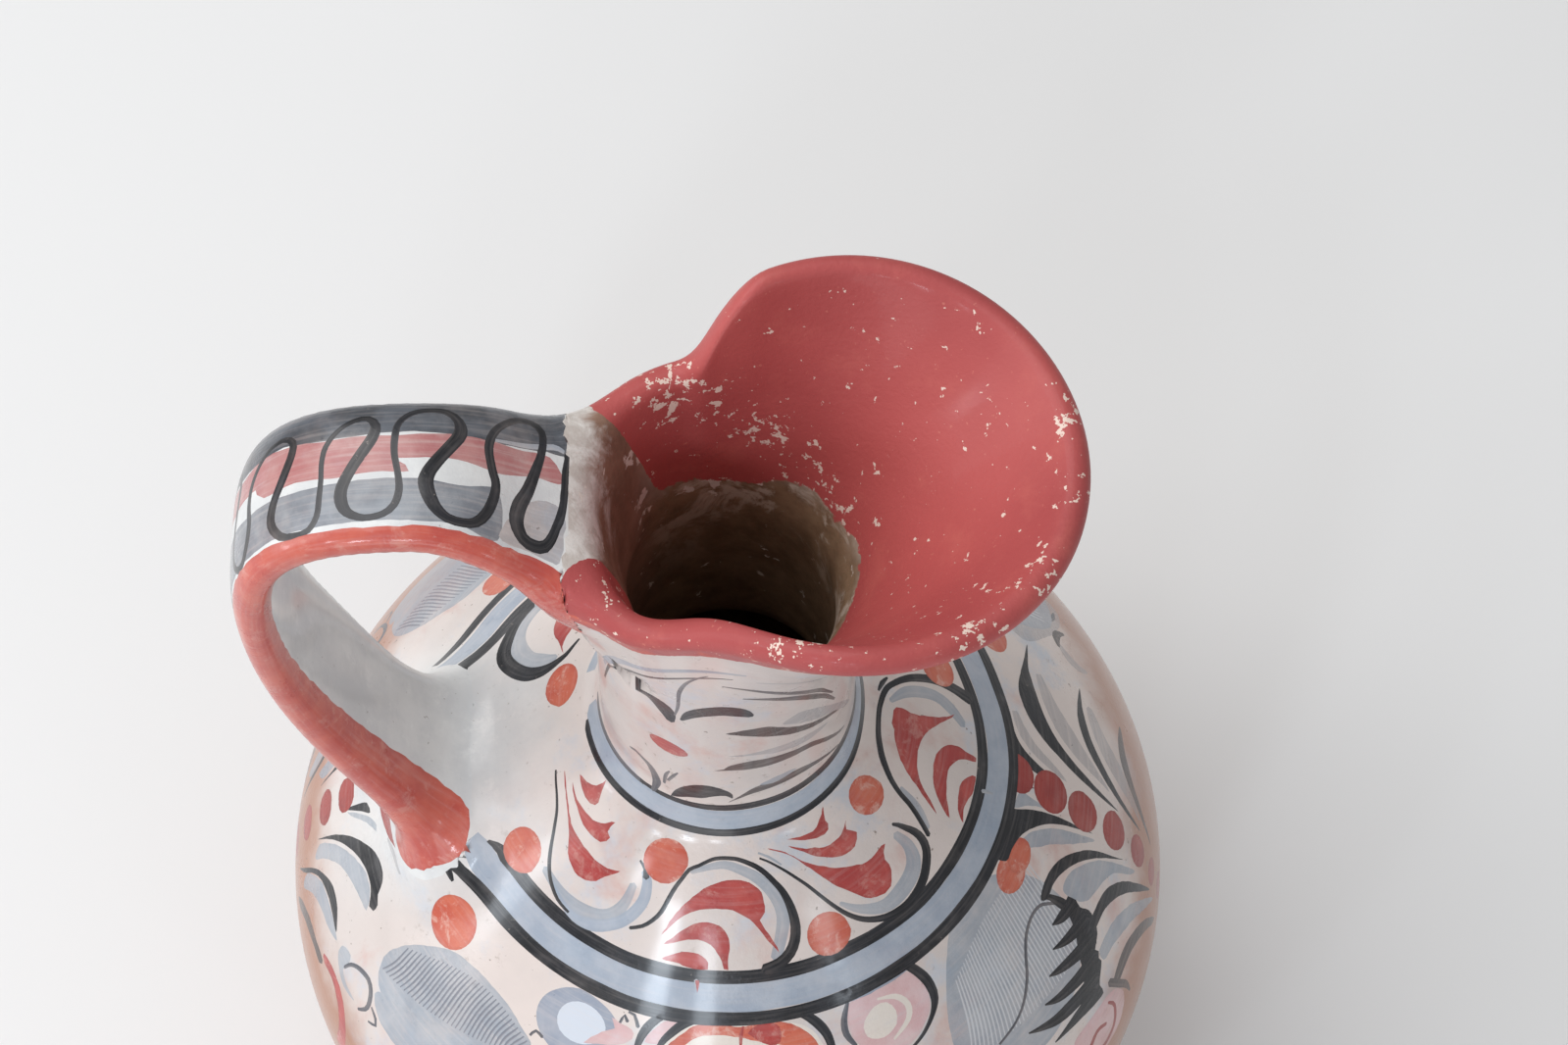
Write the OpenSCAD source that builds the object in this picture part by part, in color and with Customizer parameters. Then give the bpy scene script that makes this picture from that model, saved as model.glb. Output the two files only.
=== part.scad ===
// Hand-painted clay pitcher: a round body on a flat foot, a short neck, a wide
// pinched pouring lip, and a strap handle from the back of the mouth down to
// the shoulder. It is all one piece of fired clay.
// The frame stands on the foot: +Z is up and the lip pours toward +X.

/* [Body] */
// Widest diameter of the round body
belly_d = 210; // [180:1:240]
// Height of the widest part above the foot
belly_h = 98; // [88:1:110]
// Height of the full curve below the widest part, which the foot cuts flat
bowl_depth = 112; // [112:1:130]
// How far the shoulder falls in from a ball, as a share
shoulder_fall = 0.50; // [0.46:0.01:0.54]
// How far the shoulder rises again toward the neck, as a share
shoulder_rise = 0.44; // [0.40:0.01:0.48]
// Thickness of the wall of the body
wall = 6; // [5:0.5:7]
// Thickness of the floor
floor_t = 8; // [6:0.5:10]
// Rounding of the edge of the foot
foot_round = 3; // [1:0.5:4]

/* [Neck] */
// Outer diameter of the neck
neck_d = 56; // [52:1:60]
// Thickness of the wall of the neck
neck_wall = 5; // [4:0.5:6]
// Height of the straight neck above the shoulder
neck_h = 47; // [40:1:52]
// Width of the rounded joint between shoulder and neck
neck_joint = 6; // [3:0.5:8]

/* [Pouring lip] */
// Radius of the round pouring lip, seen from above
lip_r = 46; // [42:0.5:50]
// Distance from the neck's axis forward to the middle of the round lip
lip_offset = 25.5; // [20:0.5:30]
// Height of the lip above the top of the straight neck
lip_rise = 66; // [58:1:74]
// How much lower the tip of the lip is than its sides
tip_drop = 4.5; // [0:0.5:8]
// Thickness of the rounded edge of the lip
lip_t = 6.5; // [5:0.5:8]
// Radius of the collar at the back of the mouth, seen from above
collar_r = 35.5; // [33:0.5:38]
// How much lower the collar is than the lip
collar_drop = 21.5; // [16:0.5:26]
// Angle from the tip at which the lip starts to sink to the collar
pinch_start = 78; // [70:1:84]
// Angle from the tip at which the lip has become the collar
pinch_end = 110; // [104:1:118]
// How many degrees sooner and later that is on the near side, seen with the lip right
near_spread = 20; // [0:1:30]

/* [Handle] */
// Distance from the neck's axis to the outermost point of the handle
handle_reach = 101; // [94:1:104]
// Height of the top of the handle above the collar
handle_rise = 20; // [14:1:24]
// Width of the strap at its top
strap_w = 32; // [26:1:36]
// Width of the strap where it leaves the mouth
strap_mouth_w = 39; // [34:1:42]
// Width of the strap where it meets the shoulder
strap_root_w = 44; // [36:1:48]
// Thickness of the strap at its top
strap_t = 9.5; // [7:0.5:11]
// Thickness of the strap where it meets the shoulder
strap_root_t = 13; // [10:0.5:15]
// Extra width and thickness, on each side, where the handle spreads onto the shoulder
root_spread = 5; // [0:0.5:8]
// Angle above the widest part at which the handle meets the shoulder
root_angle = 42; // [36:1:46]

/* [Hidden] */

$fn = 96;

belly_r = belly_d / 2;
neck_r = neck_d / 2;

// Facets of the shaped walls
mouth_steps = 72;
flare_rings = 12;
rim_rings = 5;
strap_points = 20;
strap_rings = 15;

function mix(a, b, t) = a + (b - a) * t;
function ease(t) = let (u = min(1, max(0, t))) u * u * (3 - 2 * u);

// Outline of the body in the plane of its axis, from the widest height
// The upper half is a ball whose shoulder falls in and rises to the neck
function shoulder(a, inset = 0) =
    (belly_r * (1 - shoulder_fall * pow(sin(a), 2) + shoulder_rise * pow(sin(a), 4)) - inset)
    * [cos(a), sin(a)];
// The lower half is an ellipse
function bowl(a, inset = 0) = [(belly_r - inset) * cos(a), (bowl_depth - inset) * sin(a)];

// Angle at which the shoulder has come in to a given radius
function shoulder_angle(r, low = 0, high = 89, left = 24) =
    left == 0 ? (low + high) / 2 :
    let (half = (low + high) / 2)
    shoulder(half)[0] > r
        ? shoulder_angle(r, half, high, left - 1)
        : shoulder_angle(r, low, half, left - 1);

joint_angle = shoulder_angle(neck_r + neck_joint);
joint_start = shoulder(joint_angle);
neck_base = shoulder(shoulder_angle(neck_r))[1];
neck_top = neck_base + neck_h;

function bezier3(p, t) =
    pow(1 - t, 2) * p[0] + 2 * t * (1 - t) * p[1] + pow(t, 2) * p[2];
function bezier4(p, t) =
    pow(1 - t, 3) * p[0] + 3 * t * pow(1 - t, 2) * p[1]
    + 3 * pow(t, 2) * (1 - t) * p[2] + pow(t, 3) * p[3];

// Skin of a stack of rings, each with the same number of points
function skin(rings, closed_ends = true) =
    let (n = len(rings[0]), m = len(rings))
    [
        [for (ring = rings) each ring],
        concat(
            [for (i = [0:m - 2], j = [0:n - 1])
                let (k = (j + 1) % n)
                each [
                    [i * n + j, (i + 1) * n + j, (i + 1) * n + k],
                    [i * n + j, (i + 1) * n + k, i * n + k]
                ]],
            closed_ends ? [
                [for (j = [0:n - 1]) j],
                [for (j = [0:n - 1]) m * n - 1 - j]
            ] : []
        )
    ];

// Skin of a stack of rings whose last ring joins the first
function loop_skin(rings) =
    let (n = len(rings[0]), m = len(rings))
    [
        [for (ring = rings) each ring],
        [for (i = [0:m - 1], j = [0:n - 1])
            let (k = (j + 1) % n, h = (i + 1) % m)
            each [
                [i * n + j, h * n + j, h * n + k],
                [i * n + j, h * n + k, i * n + k]
            ]]
    ];

// Full round body, before it is hollowed
module body_outside() {
    foot_angle = asin(belly_h / bowl_depth);
    foot_r = bowl(-foot_angle)[0];
    rotate_extrude()
        polygon(concat(
            [[0, -belly_h], [foot_r - foot_round, -belly_h]],
            [for (t = [0.25, 0.5, 0.75])
                bezier3([
                    [foot_r - foot_round, -belly_h],
                    [foot_r, -belly_h],
                    bowl(-foot_angle + 3)
                ], t)],
            [for (i = [0:14]) bowl(mix(-foot_angle + 3, 0, i / 14))],
            [for (i = [1:20]) shoulder(mix(0, joint_angle, i / 20))],
            [for (i = [1:5])
                bezier3([
                    joint_start,
                    [neck_r + 0.6, joint_start[1] + neck_joint * 0.7],
                    [neck_r - 1, joint_start[1] + neck_joint * 2.2]
                ], i / 5)],
            [[0, joint_start[1] + neck_joint * 2.2]]
        ));
}

// Hollow of the body, with the hole that the neck stands in
module body_hollow() {
    floor_angle = asin((belly_h - floor_t) / (bowl_depth - wall));
    top_angle = shoulder_angle(neck_r - neck_wall);
    rotate_extrude()
        polygon(concat(
            [[0, -belly_h + floor_t]],
            [for (i = [0:14]) bowl(mix(-floor_angle, 0, i / 14), wall)],
            [for (i = [1:16]) shoulder(mix(0, top_angle, i / 16), wall)],
            [[0, shoulder(top_angle, wall)[1]]]
        ));
    cylinder(r = neck_r - neck_wall / 2, h = neck_base + 30);
}

// Reach and height of the middle of the mouth's edge, by angle from the tip
function lip_reach(a) =
    lip_offset * cos(a) + sqrt(pow(lip_r, 2) - pow(lip_offset * sin(a), 2));
function spread_at(a) = a < 0 ? near_spread : 0;
function rim_share(a) =
    let (more = spread_at(a))
    ease((abs(a) - pinch_start + more) / (pinch_end - pinch_start + 2 * more));
function reach_share(a) =
    let (more = spread_at(a))
    ease((abs(a) - 92 + 1.5 * more) / (pinch_end - 92 + 2.5 * more));
function rim_reach(a) = mix(lip_reach(a), collar_r, reach_share(a)) - lip_t / 2;
function rim_height(a) =
    neck_top + lip_rise - collar_drop * rim_share(a)
    - tip_drop * pow(max(0, cos(a)), 4);

// Middle of the wall from the neck out to the edge, as [radius, height]
flare_power = 1.65;
function flare(a, s) = [
    mix(neck_r - neck_wall / 2, rim_reach(a), pow(s, flare_power)),
    mix(neck_top, rim_height(a), s)
];
function flare_t(s) = mix(neck_wall, lip_t, ease(s));
// Unit vector along the wall, and the one across it toward the axis
function along(a, s) =
    let (d = flare(a, s) - flare(a, max(0, s - 0.02)))
    s <= 0 ? [0, 1] : d / norm(d);
function across(a, s) = let (d = along(a, s)) [-d[1], d[0]];

function wall_point(a, s, side) = flare(a, s) + side * flare_t(s) / 2 * across(a, s);
function place(p, a) = [p[0] * cos(a), p[0] * sin(a), p[1]];
function mouth_angle(j) = -180 + 360 * j / mouth_steps;

// Neck and pouring lip: up the outside, over the rounded edge and down inside
module mouth() {
    low = shoulder(shoulder_angle(neck_r), wall * 0.7)[1];
    outside = concat(
        [for (z = [low, mix(low, neck_top, 0.5)])
            [for (j = [0:mouth_steps - 1]) place([neck_r, z], mouth_angle(j))]],
        [for (i = [0:flare_rings])
            [for (j = [0:mouth_steps - 1])
                place(wall_point(mouth_angle(j), i / flare_rings, -1), mouth_angle(j))]]
    );
    edge = [for (i = [1:rim_rings])
        let (turn = -90 + 180 * i / (rim_rings + 1))
        [for (j = [0:mouth_steps - 1])
            let (a = mouth_angle(j))
            place(
                flare(a, 1) + lip_t / 2 * (cos(turn) * along(a, 1) + sin(turn) * across(a, 1)),
                a)]];
    inside = concat(
        [for (i = [0:flare_rings])
            [for (j = [0:mouth_steps - 1])
                place(wall_point(mouth_angle(j), 1 - i / flare_rings, 1), mouth_angle(j))]],
        [for (p = [
                [neck_r - neck_wall, mix(low, neck_top, 0.5)],
                [neck_r - neck_wall, low + neck_wall],
                [neck_r - neck_wall * 0.85, low + neck_wall * 0.4],
                [neck_r - neck_wall * 0.45, low - neck_wall * 0.4]
            ])
            [for (j = [0:mouth_steps - 1]) place(p, mouth_angle(j))]]
    );
    shape = loop_skin(concat(outside, edge, inside));
    polyhedron(points = shape[0], faces = shape[1], convexity = 6);
}

// Space inside the mouth, a little way into its wall, that trims the handle
module mouth_space() {
    into = neck_wall / 4;
    rings = concat(
        [[for (j = [0:mouth_steps - 1])
            place([neck_r - neck_wall + into, neck_base], mouth_angle(j))]],
        [for (i = [0:flare_rings])
            [for (j = [0:mouth_steps - 1])
                let (a = mouth_angle(j), s = i / flare_rings)
                place(wall_point(a, s, 1) - into * across(a, s), a)]],
        [[for (j = [0:mouth_steps - 1])
            let (a = mouth_angle(j))
            place(wall_point(a, 1, 1) + [2, 30], a)]]
    );
    shape = skin(rings);
    polyhedron(points = shape[0], faces = shape[1], convexity = 4);
}

// Middle line of the strap in the plane of the handle, as [x, z]
collar_top = neck_top + lip_rise - collar_drop;
crown = [-mix(collar_r, handle_reach, 0.40), collar_top + handle_rise - strap_t / 2];
elbow = [-handle_reach + strap_t / 2, mix(neck_base, crown[1], 0.62)];
root = [-shoulder(root_angle)[0] + strap_t * 0.4, shoulder(root_angle)[1] - strap_t * 0.15];
mouth_start = [-neck_r + 4, neck_top + 12];
legs = [
    [mouth_start, [mouth_start[0] - 4, collar_top - 2], [mix(-collar_r, crown[0], 0.38), crown[1]], crown],
    [crown, [mix(crown[0], elbow[0], 0.62), crown[1]], [elbow[0], mix(elbow[1], crown[1], 0.80)], elbow],
    [elbow, [elbow[0], mix(elbow[1], root[1], 0.34)], [root[0] - strap_t * 2.2, root[1] + strap_t * 3.6], root]
];
// Width and thickness of the strap, by leg and by share of that leg
// It starts narrow inside the wall and is widest where it leaves the collar
leave = 0.38;
spread_start = 0.74;
function spread(t) = 2 * root_spread * pow(max(0, (t - spread_start) / (1 - spread_start)), 2);
function strap_width(leg, t) =
    leg == 0 && t < leave ? mix(strap_mouth_w / 2, strap_mouth_w, ease(t / leave)) :
    leg == 0 ? mix(strap_mouth_w, strap_w, ease((t - leave) / (1 - leave))) :
    leg == 1 ? strap_w :
    mix(strap_w, strap_root_w, pow(t, 2.2)) + spread(t);
function strap_thickness(leg, t) =
    leg < 2 ? strap_t : mix(strap_t, strap_root_t, ease(t)) + spread(t);

// Section of the strap: wide and flat with round edges
function strap_section(w, t) = [for (j = [0:strap_points - 1])
    let (a = 360 * j / strap_points, c = cos(a), s = sin(a))
    [w / 2 * sign(c) * pow(abs(c), 0.62), t / 2 * sign(s) * pow(abs(s), 0.78)]];

module handle() {
    stations = [for (leg = [0:2], i = [(leg == 0 ? 0 : 1):strap_rings]) [leg, i / strap_rings]];
    rings = [for (station = stations)
        let (
            leg = station[0],
            t = station[1],
            p = bezier4(legs[leg], t),
            q = bezier4(legs[leg], min(1, t + 0.01)) - bezier4(legs[leg], t - 0.01),
            d = q / norm(q),
            section = strap_section(strap_width(leg, t), strap_thickness(leg, t))
        )
        [for (c = section)
            [p[0] - c[1] * d[1], c[0], p[1] + c[1] * d[0]]]];
    shape = skin(rings);
    polyhedron(points = shape[0], faces = shape[1], convexity = 6);
}

module pitcher() {
    color("#c9bdb6")
        translate([0, 0, belly_h])
        union() {
            difference() {
                body_outside();
                body_hollow();
            }
            mouth();
            difference() {
                handle();
                mouth_space();
                body_hollow();
            }
        }
}

pitcher();
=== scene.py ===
"""Looks of the hand-painted clay pitcher: one skin of fired clay that repeats the CAD shape,
with the brushwork laid out as outlines on its surface. The root of the strap is narrower on
its far side than in the CAD, and both ends of the strap blend softly into the body."""

import math
import random

import bmesh
import bpy
import numpy as np
from mathutils import Matrix, Vector
from mathutils.bvhtree import BVHTree
from mathutils.geometry import delaunay_2d_cdt
from mathutils.kdtree import KDTree

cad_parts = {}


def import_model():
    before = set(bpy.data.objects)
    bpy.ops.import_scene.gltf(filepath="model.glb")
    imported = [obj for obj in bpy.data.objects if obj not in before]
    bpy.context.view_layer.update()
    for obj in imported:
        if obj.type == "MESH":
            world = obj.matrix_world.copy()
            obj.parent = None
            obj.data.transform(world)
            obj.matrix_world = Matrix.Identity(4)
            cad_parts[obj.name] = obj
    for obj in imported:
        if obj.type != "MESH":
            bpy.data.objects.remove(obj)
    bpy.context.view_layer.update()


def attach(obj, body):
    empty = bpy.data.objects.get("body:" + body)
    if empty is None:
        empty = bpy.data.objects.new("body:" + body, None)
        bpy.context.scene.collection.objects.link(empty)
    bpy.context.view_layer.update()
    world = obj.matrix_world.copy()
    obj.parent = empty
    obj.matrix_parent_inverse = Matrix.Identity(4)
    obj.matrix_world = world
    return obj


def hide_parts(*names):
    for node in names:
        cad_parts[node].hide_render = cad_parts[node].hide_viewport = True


MM = 0.001

# Sizes in millimetres, as in the part's source
BELLY_R = 105.0
BELLY_H = 98.0
BOWL_DEPTH = 112.0
SHOULDER_FALL = 0.50
SHOULDER_RISE = 0.44
WALL = 6.0
FLOOR_T = 8.0
FOOT_ROUND = 3.0
NECK_R = 28.0
NECK_WALL = 5.0
NECK_H = 47.0
NECK_JOINT = 6.0
LIP_R = 46.0
LIP_OFFSET = 25.5
LIP_RISE = 66.0
TIP_DROP = 4.5
LIP_T = 6.5
COLLAR_R = 35.5
COLLAR_DROP = 21.5
PINCH_START = 78.0
PINCH_END = 110.0
PINCH_REACH = 92.0
NEAR_SPREAD = 20.0
FLARE_POWER = 1.65
HANDLE_REACH = 101.0
HANDLE_RISE = 20.0
STRAP_W = 32.0
STRAP_MOUTH_W = 39.0
STRAP_ROOT_W = 44.0
STRAP_T = 9.5
STRAP_ROOT_T = 13.0
ROOT_SPREAD = 5.0
SPREAD_START = 0.74
FAR_ROOT = 0.72
BURIED = 8.0
ROOT_ANGLE = math.radians(42)
LEAVE = 0.38

# The skin is cut open along a line on the far side, where only bands go across
SEAM = math.radians(64)
# How many points go round the body and round the strap, and the usual gap between points
COLUMNS = 200
STRAP_COLUMNS = 48
BODY_GAP = 3.0
STRAP_GAP = 2.2
# Height of the flare on the flat chart, and its length as the drawings count it
FLARE_SPAN = 1.75
FLARE_ARC = 70.0
# Reach of the soft blend at the strap's ends, its longest edge, and how far forward it goes
BLEND = 14.0
BLEND_EDGE = 1.9
BLEND_SIDE = -10


def mix(a, b, t):
    return a + (b - a) * t


def ease(t):
    u = np.clip(t, 0, 1)
    return u * u * (3 - 2 * u)


def shoulder(a, inset=0.0):
    s = np.sin(a)
    r = BELLY_R * (1 - SHOULDER_FALL * s**2 + SHOULDER_RISE * s**4) - inset
    return np.stack([r * np.cos(a), r * s], -1)


def bowl(a, inset=0.0):
    return np.stack([(BELLY_R - inset) * np.cos(a), (BOWL_DEPTH - inset) * np.sin(a)], -1)


def bezier(points, t):
    """Point of a Bezier curve of three or four points."""
    p = [np.asarray(q, float) for q in points]
    t = np.asarray(t, float)[..., None]
    while len(p) > 1:
        p = [a * (1 - t) + b * t for a, b in zip(p, p[1:])]
    return p[0]


def shoulder_angle(r):
    low, high = 0.0, math.radians(89)
    for _ in range(40):
        half = (low + high) / 2
        if shoulder(half)[0] > r:
            low = half
        else:
            high = half
    return (low + high) / 2


JOINT_ANGLE = shoulder_angle(NECK_R + NECK_JOINT)
JOINT_START = shoulder(JOINT_ANGLE)
NECK_BASE = float(shoulder(shoulder_angle(NECK_R))[1])
NECK_TOP = NECK_BASE + NECK_H
FOOT_ANGLE = math.asin(BELLY_H / BOWL_DEPTH)


def outline():
    """Outside of the body and straight neck as [radius, height] rows, and the belly's row."""
    low = bowl(np.linspace(-FOOT_ANGLE + math.radians(3), 0, 60))[:-1]
    up = shoulder(np.linspace(0, JOINT_ANGLE, 90))
    turn = [NECK_R + 0.6, JOINT_START[1] + NECK_JOINT * 0.7]
    end = [NECK_R, JOINT_START[1] + NECK_JOINT * 2.0]
    joint = bezier([JOINT_START, turn, end], np.linspace(0, 1, 12)[1:])
    heights = np.linspace(joint[-1][1], NECK_TOP, 31)[1:]
    neck = np.stack([np.full(30, NECK_R), heights], -1)
    return np.concatenate([low, up, joint, neck]), len(low)


OUTLINE, BELLY_ROW = outline()
_step = np.hypot(*np.diff(OUTLINE, axis=0).T)
RISE = np.concatenate([[0], np.cumsum(_step)])
RISE -= RISE[BELLY_ROW]
CHART = np.concatenate([[0], np.cumsum(_step * 2 / (OUTLINE[1:, 0] + OUTLINE[:-1, 0]))])
CHART -= CHART[BELLY_ROW]
NECK_RISE = RISE[-1]
CHART_TOP = CHART[-1]


def wrapped(a):
    return (a + math.pi) % (2 * math.pi) - math.pi


def turned(a):
    """Degrees from the tip of the lip, and how much sooner and later the pinch is there."""
    degrees = np.degrees(wrapped(a))
    return np.abs(degrees), np.where(degrees < 0, NEAR_SPREAD, 0)


def rim_reach(a):
    degrees, more = turned(a)
    lip = LIP_OFFSET * np.cos(a) + np.sqrt(LIP_R**2 - (LIP_OFFSET * np.sin(a)) ** 2)
    share = ease((degrees - PINCH_REACH + 1.5 * more) / (PINCH_END - PINCH_REACH + 2.5 * more))
    return mix(lip, COLLAR_R, share) - LIP_T / 2


def rim_height(a):
    degrees, more = turned(a)
    share = ease((degrees - PINCH_START + more) / (PINCH_END - PINCH_START + 2 * more))
    tip = TIP_DROP * np.maximum(0, np.cos(a)) ** 4
    return NECK_TOP + LIP_RISE - COLLAR_DROP * share - tip


def flare(a, s):
    reach = mix(NECK_R - NECK_WALL / 2, rim_reach(a), s**FLARE_POWER)
    return np.stack([reach, mix(NECK_TOP, rim_height(a), s)], -1)


def along(a, s):
    d = flare(a, s) - flare(a, np.maximum(0, s - 0.02))
    d[..., 1] += s <= 0
    return d / np.linalg.norm(d, axis=-1, keepdims=True)


def across(a, s):
    d = along(a, s)
    return np.stack([-d[..., 1], d[..., 0]], -1)


def wall_point(a, s, side):
    thick = mix(NECK_WALL, LIP_T, ease(s))[..., None]
    return flare(a, s) + side * thick / 2 * across(a, s)


def rim_point(a, turn):
    one = np.ones_like(a)
    edge = math.cos(turn) * along(a, one) + math.sin(turn) * across(a, one)
    return flare(a, one) + LIP_T / 2 * edge


def spin(rz, a):
    """Point in space, in millimetres above the floor, for [radius, height] at an angle."""
    r, z = rz[..., 0], rz[..., 1]
    return np.stack([r * np.cos(a), r * np.sin(a), z + BELLY_H], -1)


def place_outside(x, y):
    r = np.interp(y, CHART, OUTLINE[:, 0])
    z = np.interp(y, CHART, OUTLINE[:, 1])
    s = np.clip((y - CHART_TOP) / FLARE_SPAN, 0, 1)
    wall = wall_point(x, s, -1)
    low = (y <= CHART_TOP)[..., None]
    return spin(np.where(low, np.stack([r, z], -1), wall), x)


def scale_outside(y):
    """Millimetres on the surface for one unit of the flat chart."""
    s = np.clip((y - CHART_TOP) / FLARE_SPAN, 0, 1)
    return np.interp(y, CHART, OUTLINE[:, 0]) + 30 * s**FLARE_POWER


def chart_outside(points):
    """Chart place of rows of [angle in degrees, millimetres up the outline from the belly]."""
    p = np.asarray(points, float)
    y = np.interp(p[:, 1], RISE, CHART)
    y += np.maximum(0, p[:, 1] - NECK_RISE) / FLARE_ARC * FLARE_SPAN
    return np.stack([np.radians(p[:, 0]), y], -1)


COLLAR_TOP = NECK_TOP + LIP_RISE - COLLAR_DROP
CROWN = [-mix(COLLAR_R, HANDLE_REACH, 0.40), COLLAR_TOP + HANDLE_RISE - STRAP_T / 2]
ELBOW = [-HANDLE_REACH + STRAP_T / 2, mix(NECK_BASE, CROWN[1], 0.62)]
_foot = shoulder(ROOT_ANGLE)
ROOT = [-_foot[0] + STRAP_T * 0.4, _foot[1] - STRAP_T * 0.15]
MOUTH_START = [-NECK_R + 4, NECK_TOP + 12]
LEGS = ((MOUTH_START, [MOUTH_START[0] - 4, COLLAR_TOP - 2], [mix(-COLLAR_R, CROWN[0], 0.38), CROWN[1]],
    CROWN), (CROWN, [mix(CROWN[0], ELBOW[0], 0.62), CROWN[1]], [ELBOW[0], mix(ELBOW[1], CROWN[1], 0.80)],
    ELBOW), (ELBOW, [ELBOW[0], mix(ELBOW[1], ROOT[1], 0.34)],
    [ROOT[0] - STRAP_T * 2.2, ROOT[1] + STRAP_T * 3.6], ROOT))


def strap_size(leg, t):
    """Width and thickness of the strap at a share of a leg."""
    if leg == 0 and t < LEAVE:
        return mix(STRAP_MOUTH_W / 2, STRAP_MOUTH_W, ease(t / LEAVE)), STRAP_T
    if leg == 0:
        return mix(STRAP_MOUTH_W, STRAP_W, ease((t - LEAVE) / (1 - LEAVE))), STRAP_T
    if leg == 1:
        return STRAP_W, STRAP_T
    spread = 2 * ROOT_SPREAD * max(0, (t - SPREAD_START) / (1 - SPREAD_START)) ** 2
    return mix(STRAP_W, STRAP_ROOT_W, t**2.2) + spread, mix(STRAP_T, STRAP_ROOT_T, ease(t)) + spread


def strap_stations(steps=60):
    """Rows of [x, z, dx, dz, width, thickness] along the strap, and the length to each."""
    rows = []
    for leg in range(3):
        for i in range(0 if leg == 0 else 1, steps + 1):
            t = i / steps
            p = bezier(LEGS[leg], t)
            d = bezier(LEGS[leg], min(1, t + 0.01)) - bezier(LEGS[leg], t - 0.01)
            d = d / np.linalg.norm(d)
            rows.append([*p, *d, *strap_size(leg, t)])
    x, z, dx, dz, w, t = rows[-1]
    rows.append([x + dx * BURIED, z + dz * BURIED, dx, dz, w, t])
    rows = np.array(rows)
    gone = np.hypot(*np.diff(rows[:, :2], axis=0).T)
    return rows, np.concatenate([[0], np.cumsum(gone)])


STATIONS, STRAP_RUN = strap_stations()
STRAP_L = STRAP_RUN[-1]
STRAP_ROUND = 78.0


def section(share, w, t):
    """Point of the strap's section by share of its edge, 0 in the middle of the outer face."""
    turn = np.linspace(-math.pi, math.pi, 361)
    c, s = np.cos(turn), np.sin(turn)
    ring_x = np.sign(s) * np.abs(s) ** 0.62
    ring_z = -np.sign(c) * np.abs(c) ** 0.78
    length = np.hypot(np.diff(ring_x) * STRAP_W / 2, np.diff(ring_z) * STRAP_T / 2)
    run = np.concatenate([[0], np.cumsum(length)])
    run = run / run[-1] - 0.5
    return np.interp(share, run, ring_x) * w / 2, np.interp(share, run, ring_z) * t / 2


def place_strap(x, y):
    row = [np.interp(y, STRAP_RUN, STATIONS[:, k]) for k in range(6)]
    px, pz, dx, dz, w, t = row
    side, face = section(x / STRAP_ROUND, w, t)
    side = np.where(side < 0, side * mix(1, FAR_ROOT, ease((y / STRAP_L - 0.70) / 0.2)), side)
    point = np.stack([px - face * dz, -side, pz + face * dx + BELLY_H], -1)
    return kept_in_wall(point)


def kept_in_wall(point):
    """Strap points that would stand inside the mouth move back into the collar's wall."""
    a = np.arctan2(point[..., 1], point[..., 0])
    r = np.hypot(point[..., 0], point[..., 1])
    z = point[..., 2] - BELLY_H
    s = np.clip((z - NECK_TOP) / (rim_height(a) - NECK_TOP), 0, 1)
    inner = wall_point(a, s, 1)[..., 0] + 1.2
    over = np.maximum(0, z - rim_height(a))
    inner = inner + over * 0.06
    least = np.where(over < 14, np.maximum(r, inner), r)
    return np.stack([least * np.cos(a), least * np.sin(a), point[..., 2]], -1)


def scale_strap(y):
    return np.ones_like(y)


def chart_strap(points):
    return np.asarray(points, float)


# A shape is a dict: its ink, its outline in the chart, its middle line and core if any, how many
# points a band's upper edge has, and which ends of a band are cut off before the seam


def smooth(points, step, closed=False):
    """Catmull-Rom curve through rows of numbers, with a point about every step of the first two."""
    p = np.asarray(points, float)
    n = len(p)
    out = []
    for i in range(n if closed else n - 1):
        if closed:
            q = [p[(i + k) % n] for k in (-1, 0, 1, 2)]
        else:
            q = [p[max(0, i - 1)], p[i], p[i + 1], p[min(n - 1, i + 2)]]
        count = max(1, int(round(math.hypot(*(q[2] - q[1])[:2]) / step)))
        for k in range(count):
            t = k / count
            out.append(
                0.5 * (2 * q[1] + (q[2] - q[0]) * t
                       + (2 * q[0] - 5 * q[1] + 4 * q[2] - q[3]) * t**2
                       + (3 * q[1] - q[0] - 3 * q[2] + q[3]) * t**3)
            )
    if not closed:
        out.append(p[-1])
    return np.array(out)


def wander(rng, count, size, reach=4):
    """Slow uneven drift of a hand-held brush."""
    knots = [rng.uniform(-size, size) for _ in range(max(2, count // reach + 2))]
    return np.interp(np.linspace(0, len(knots) - 1, count), range(len(knots)), knots)


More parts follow.
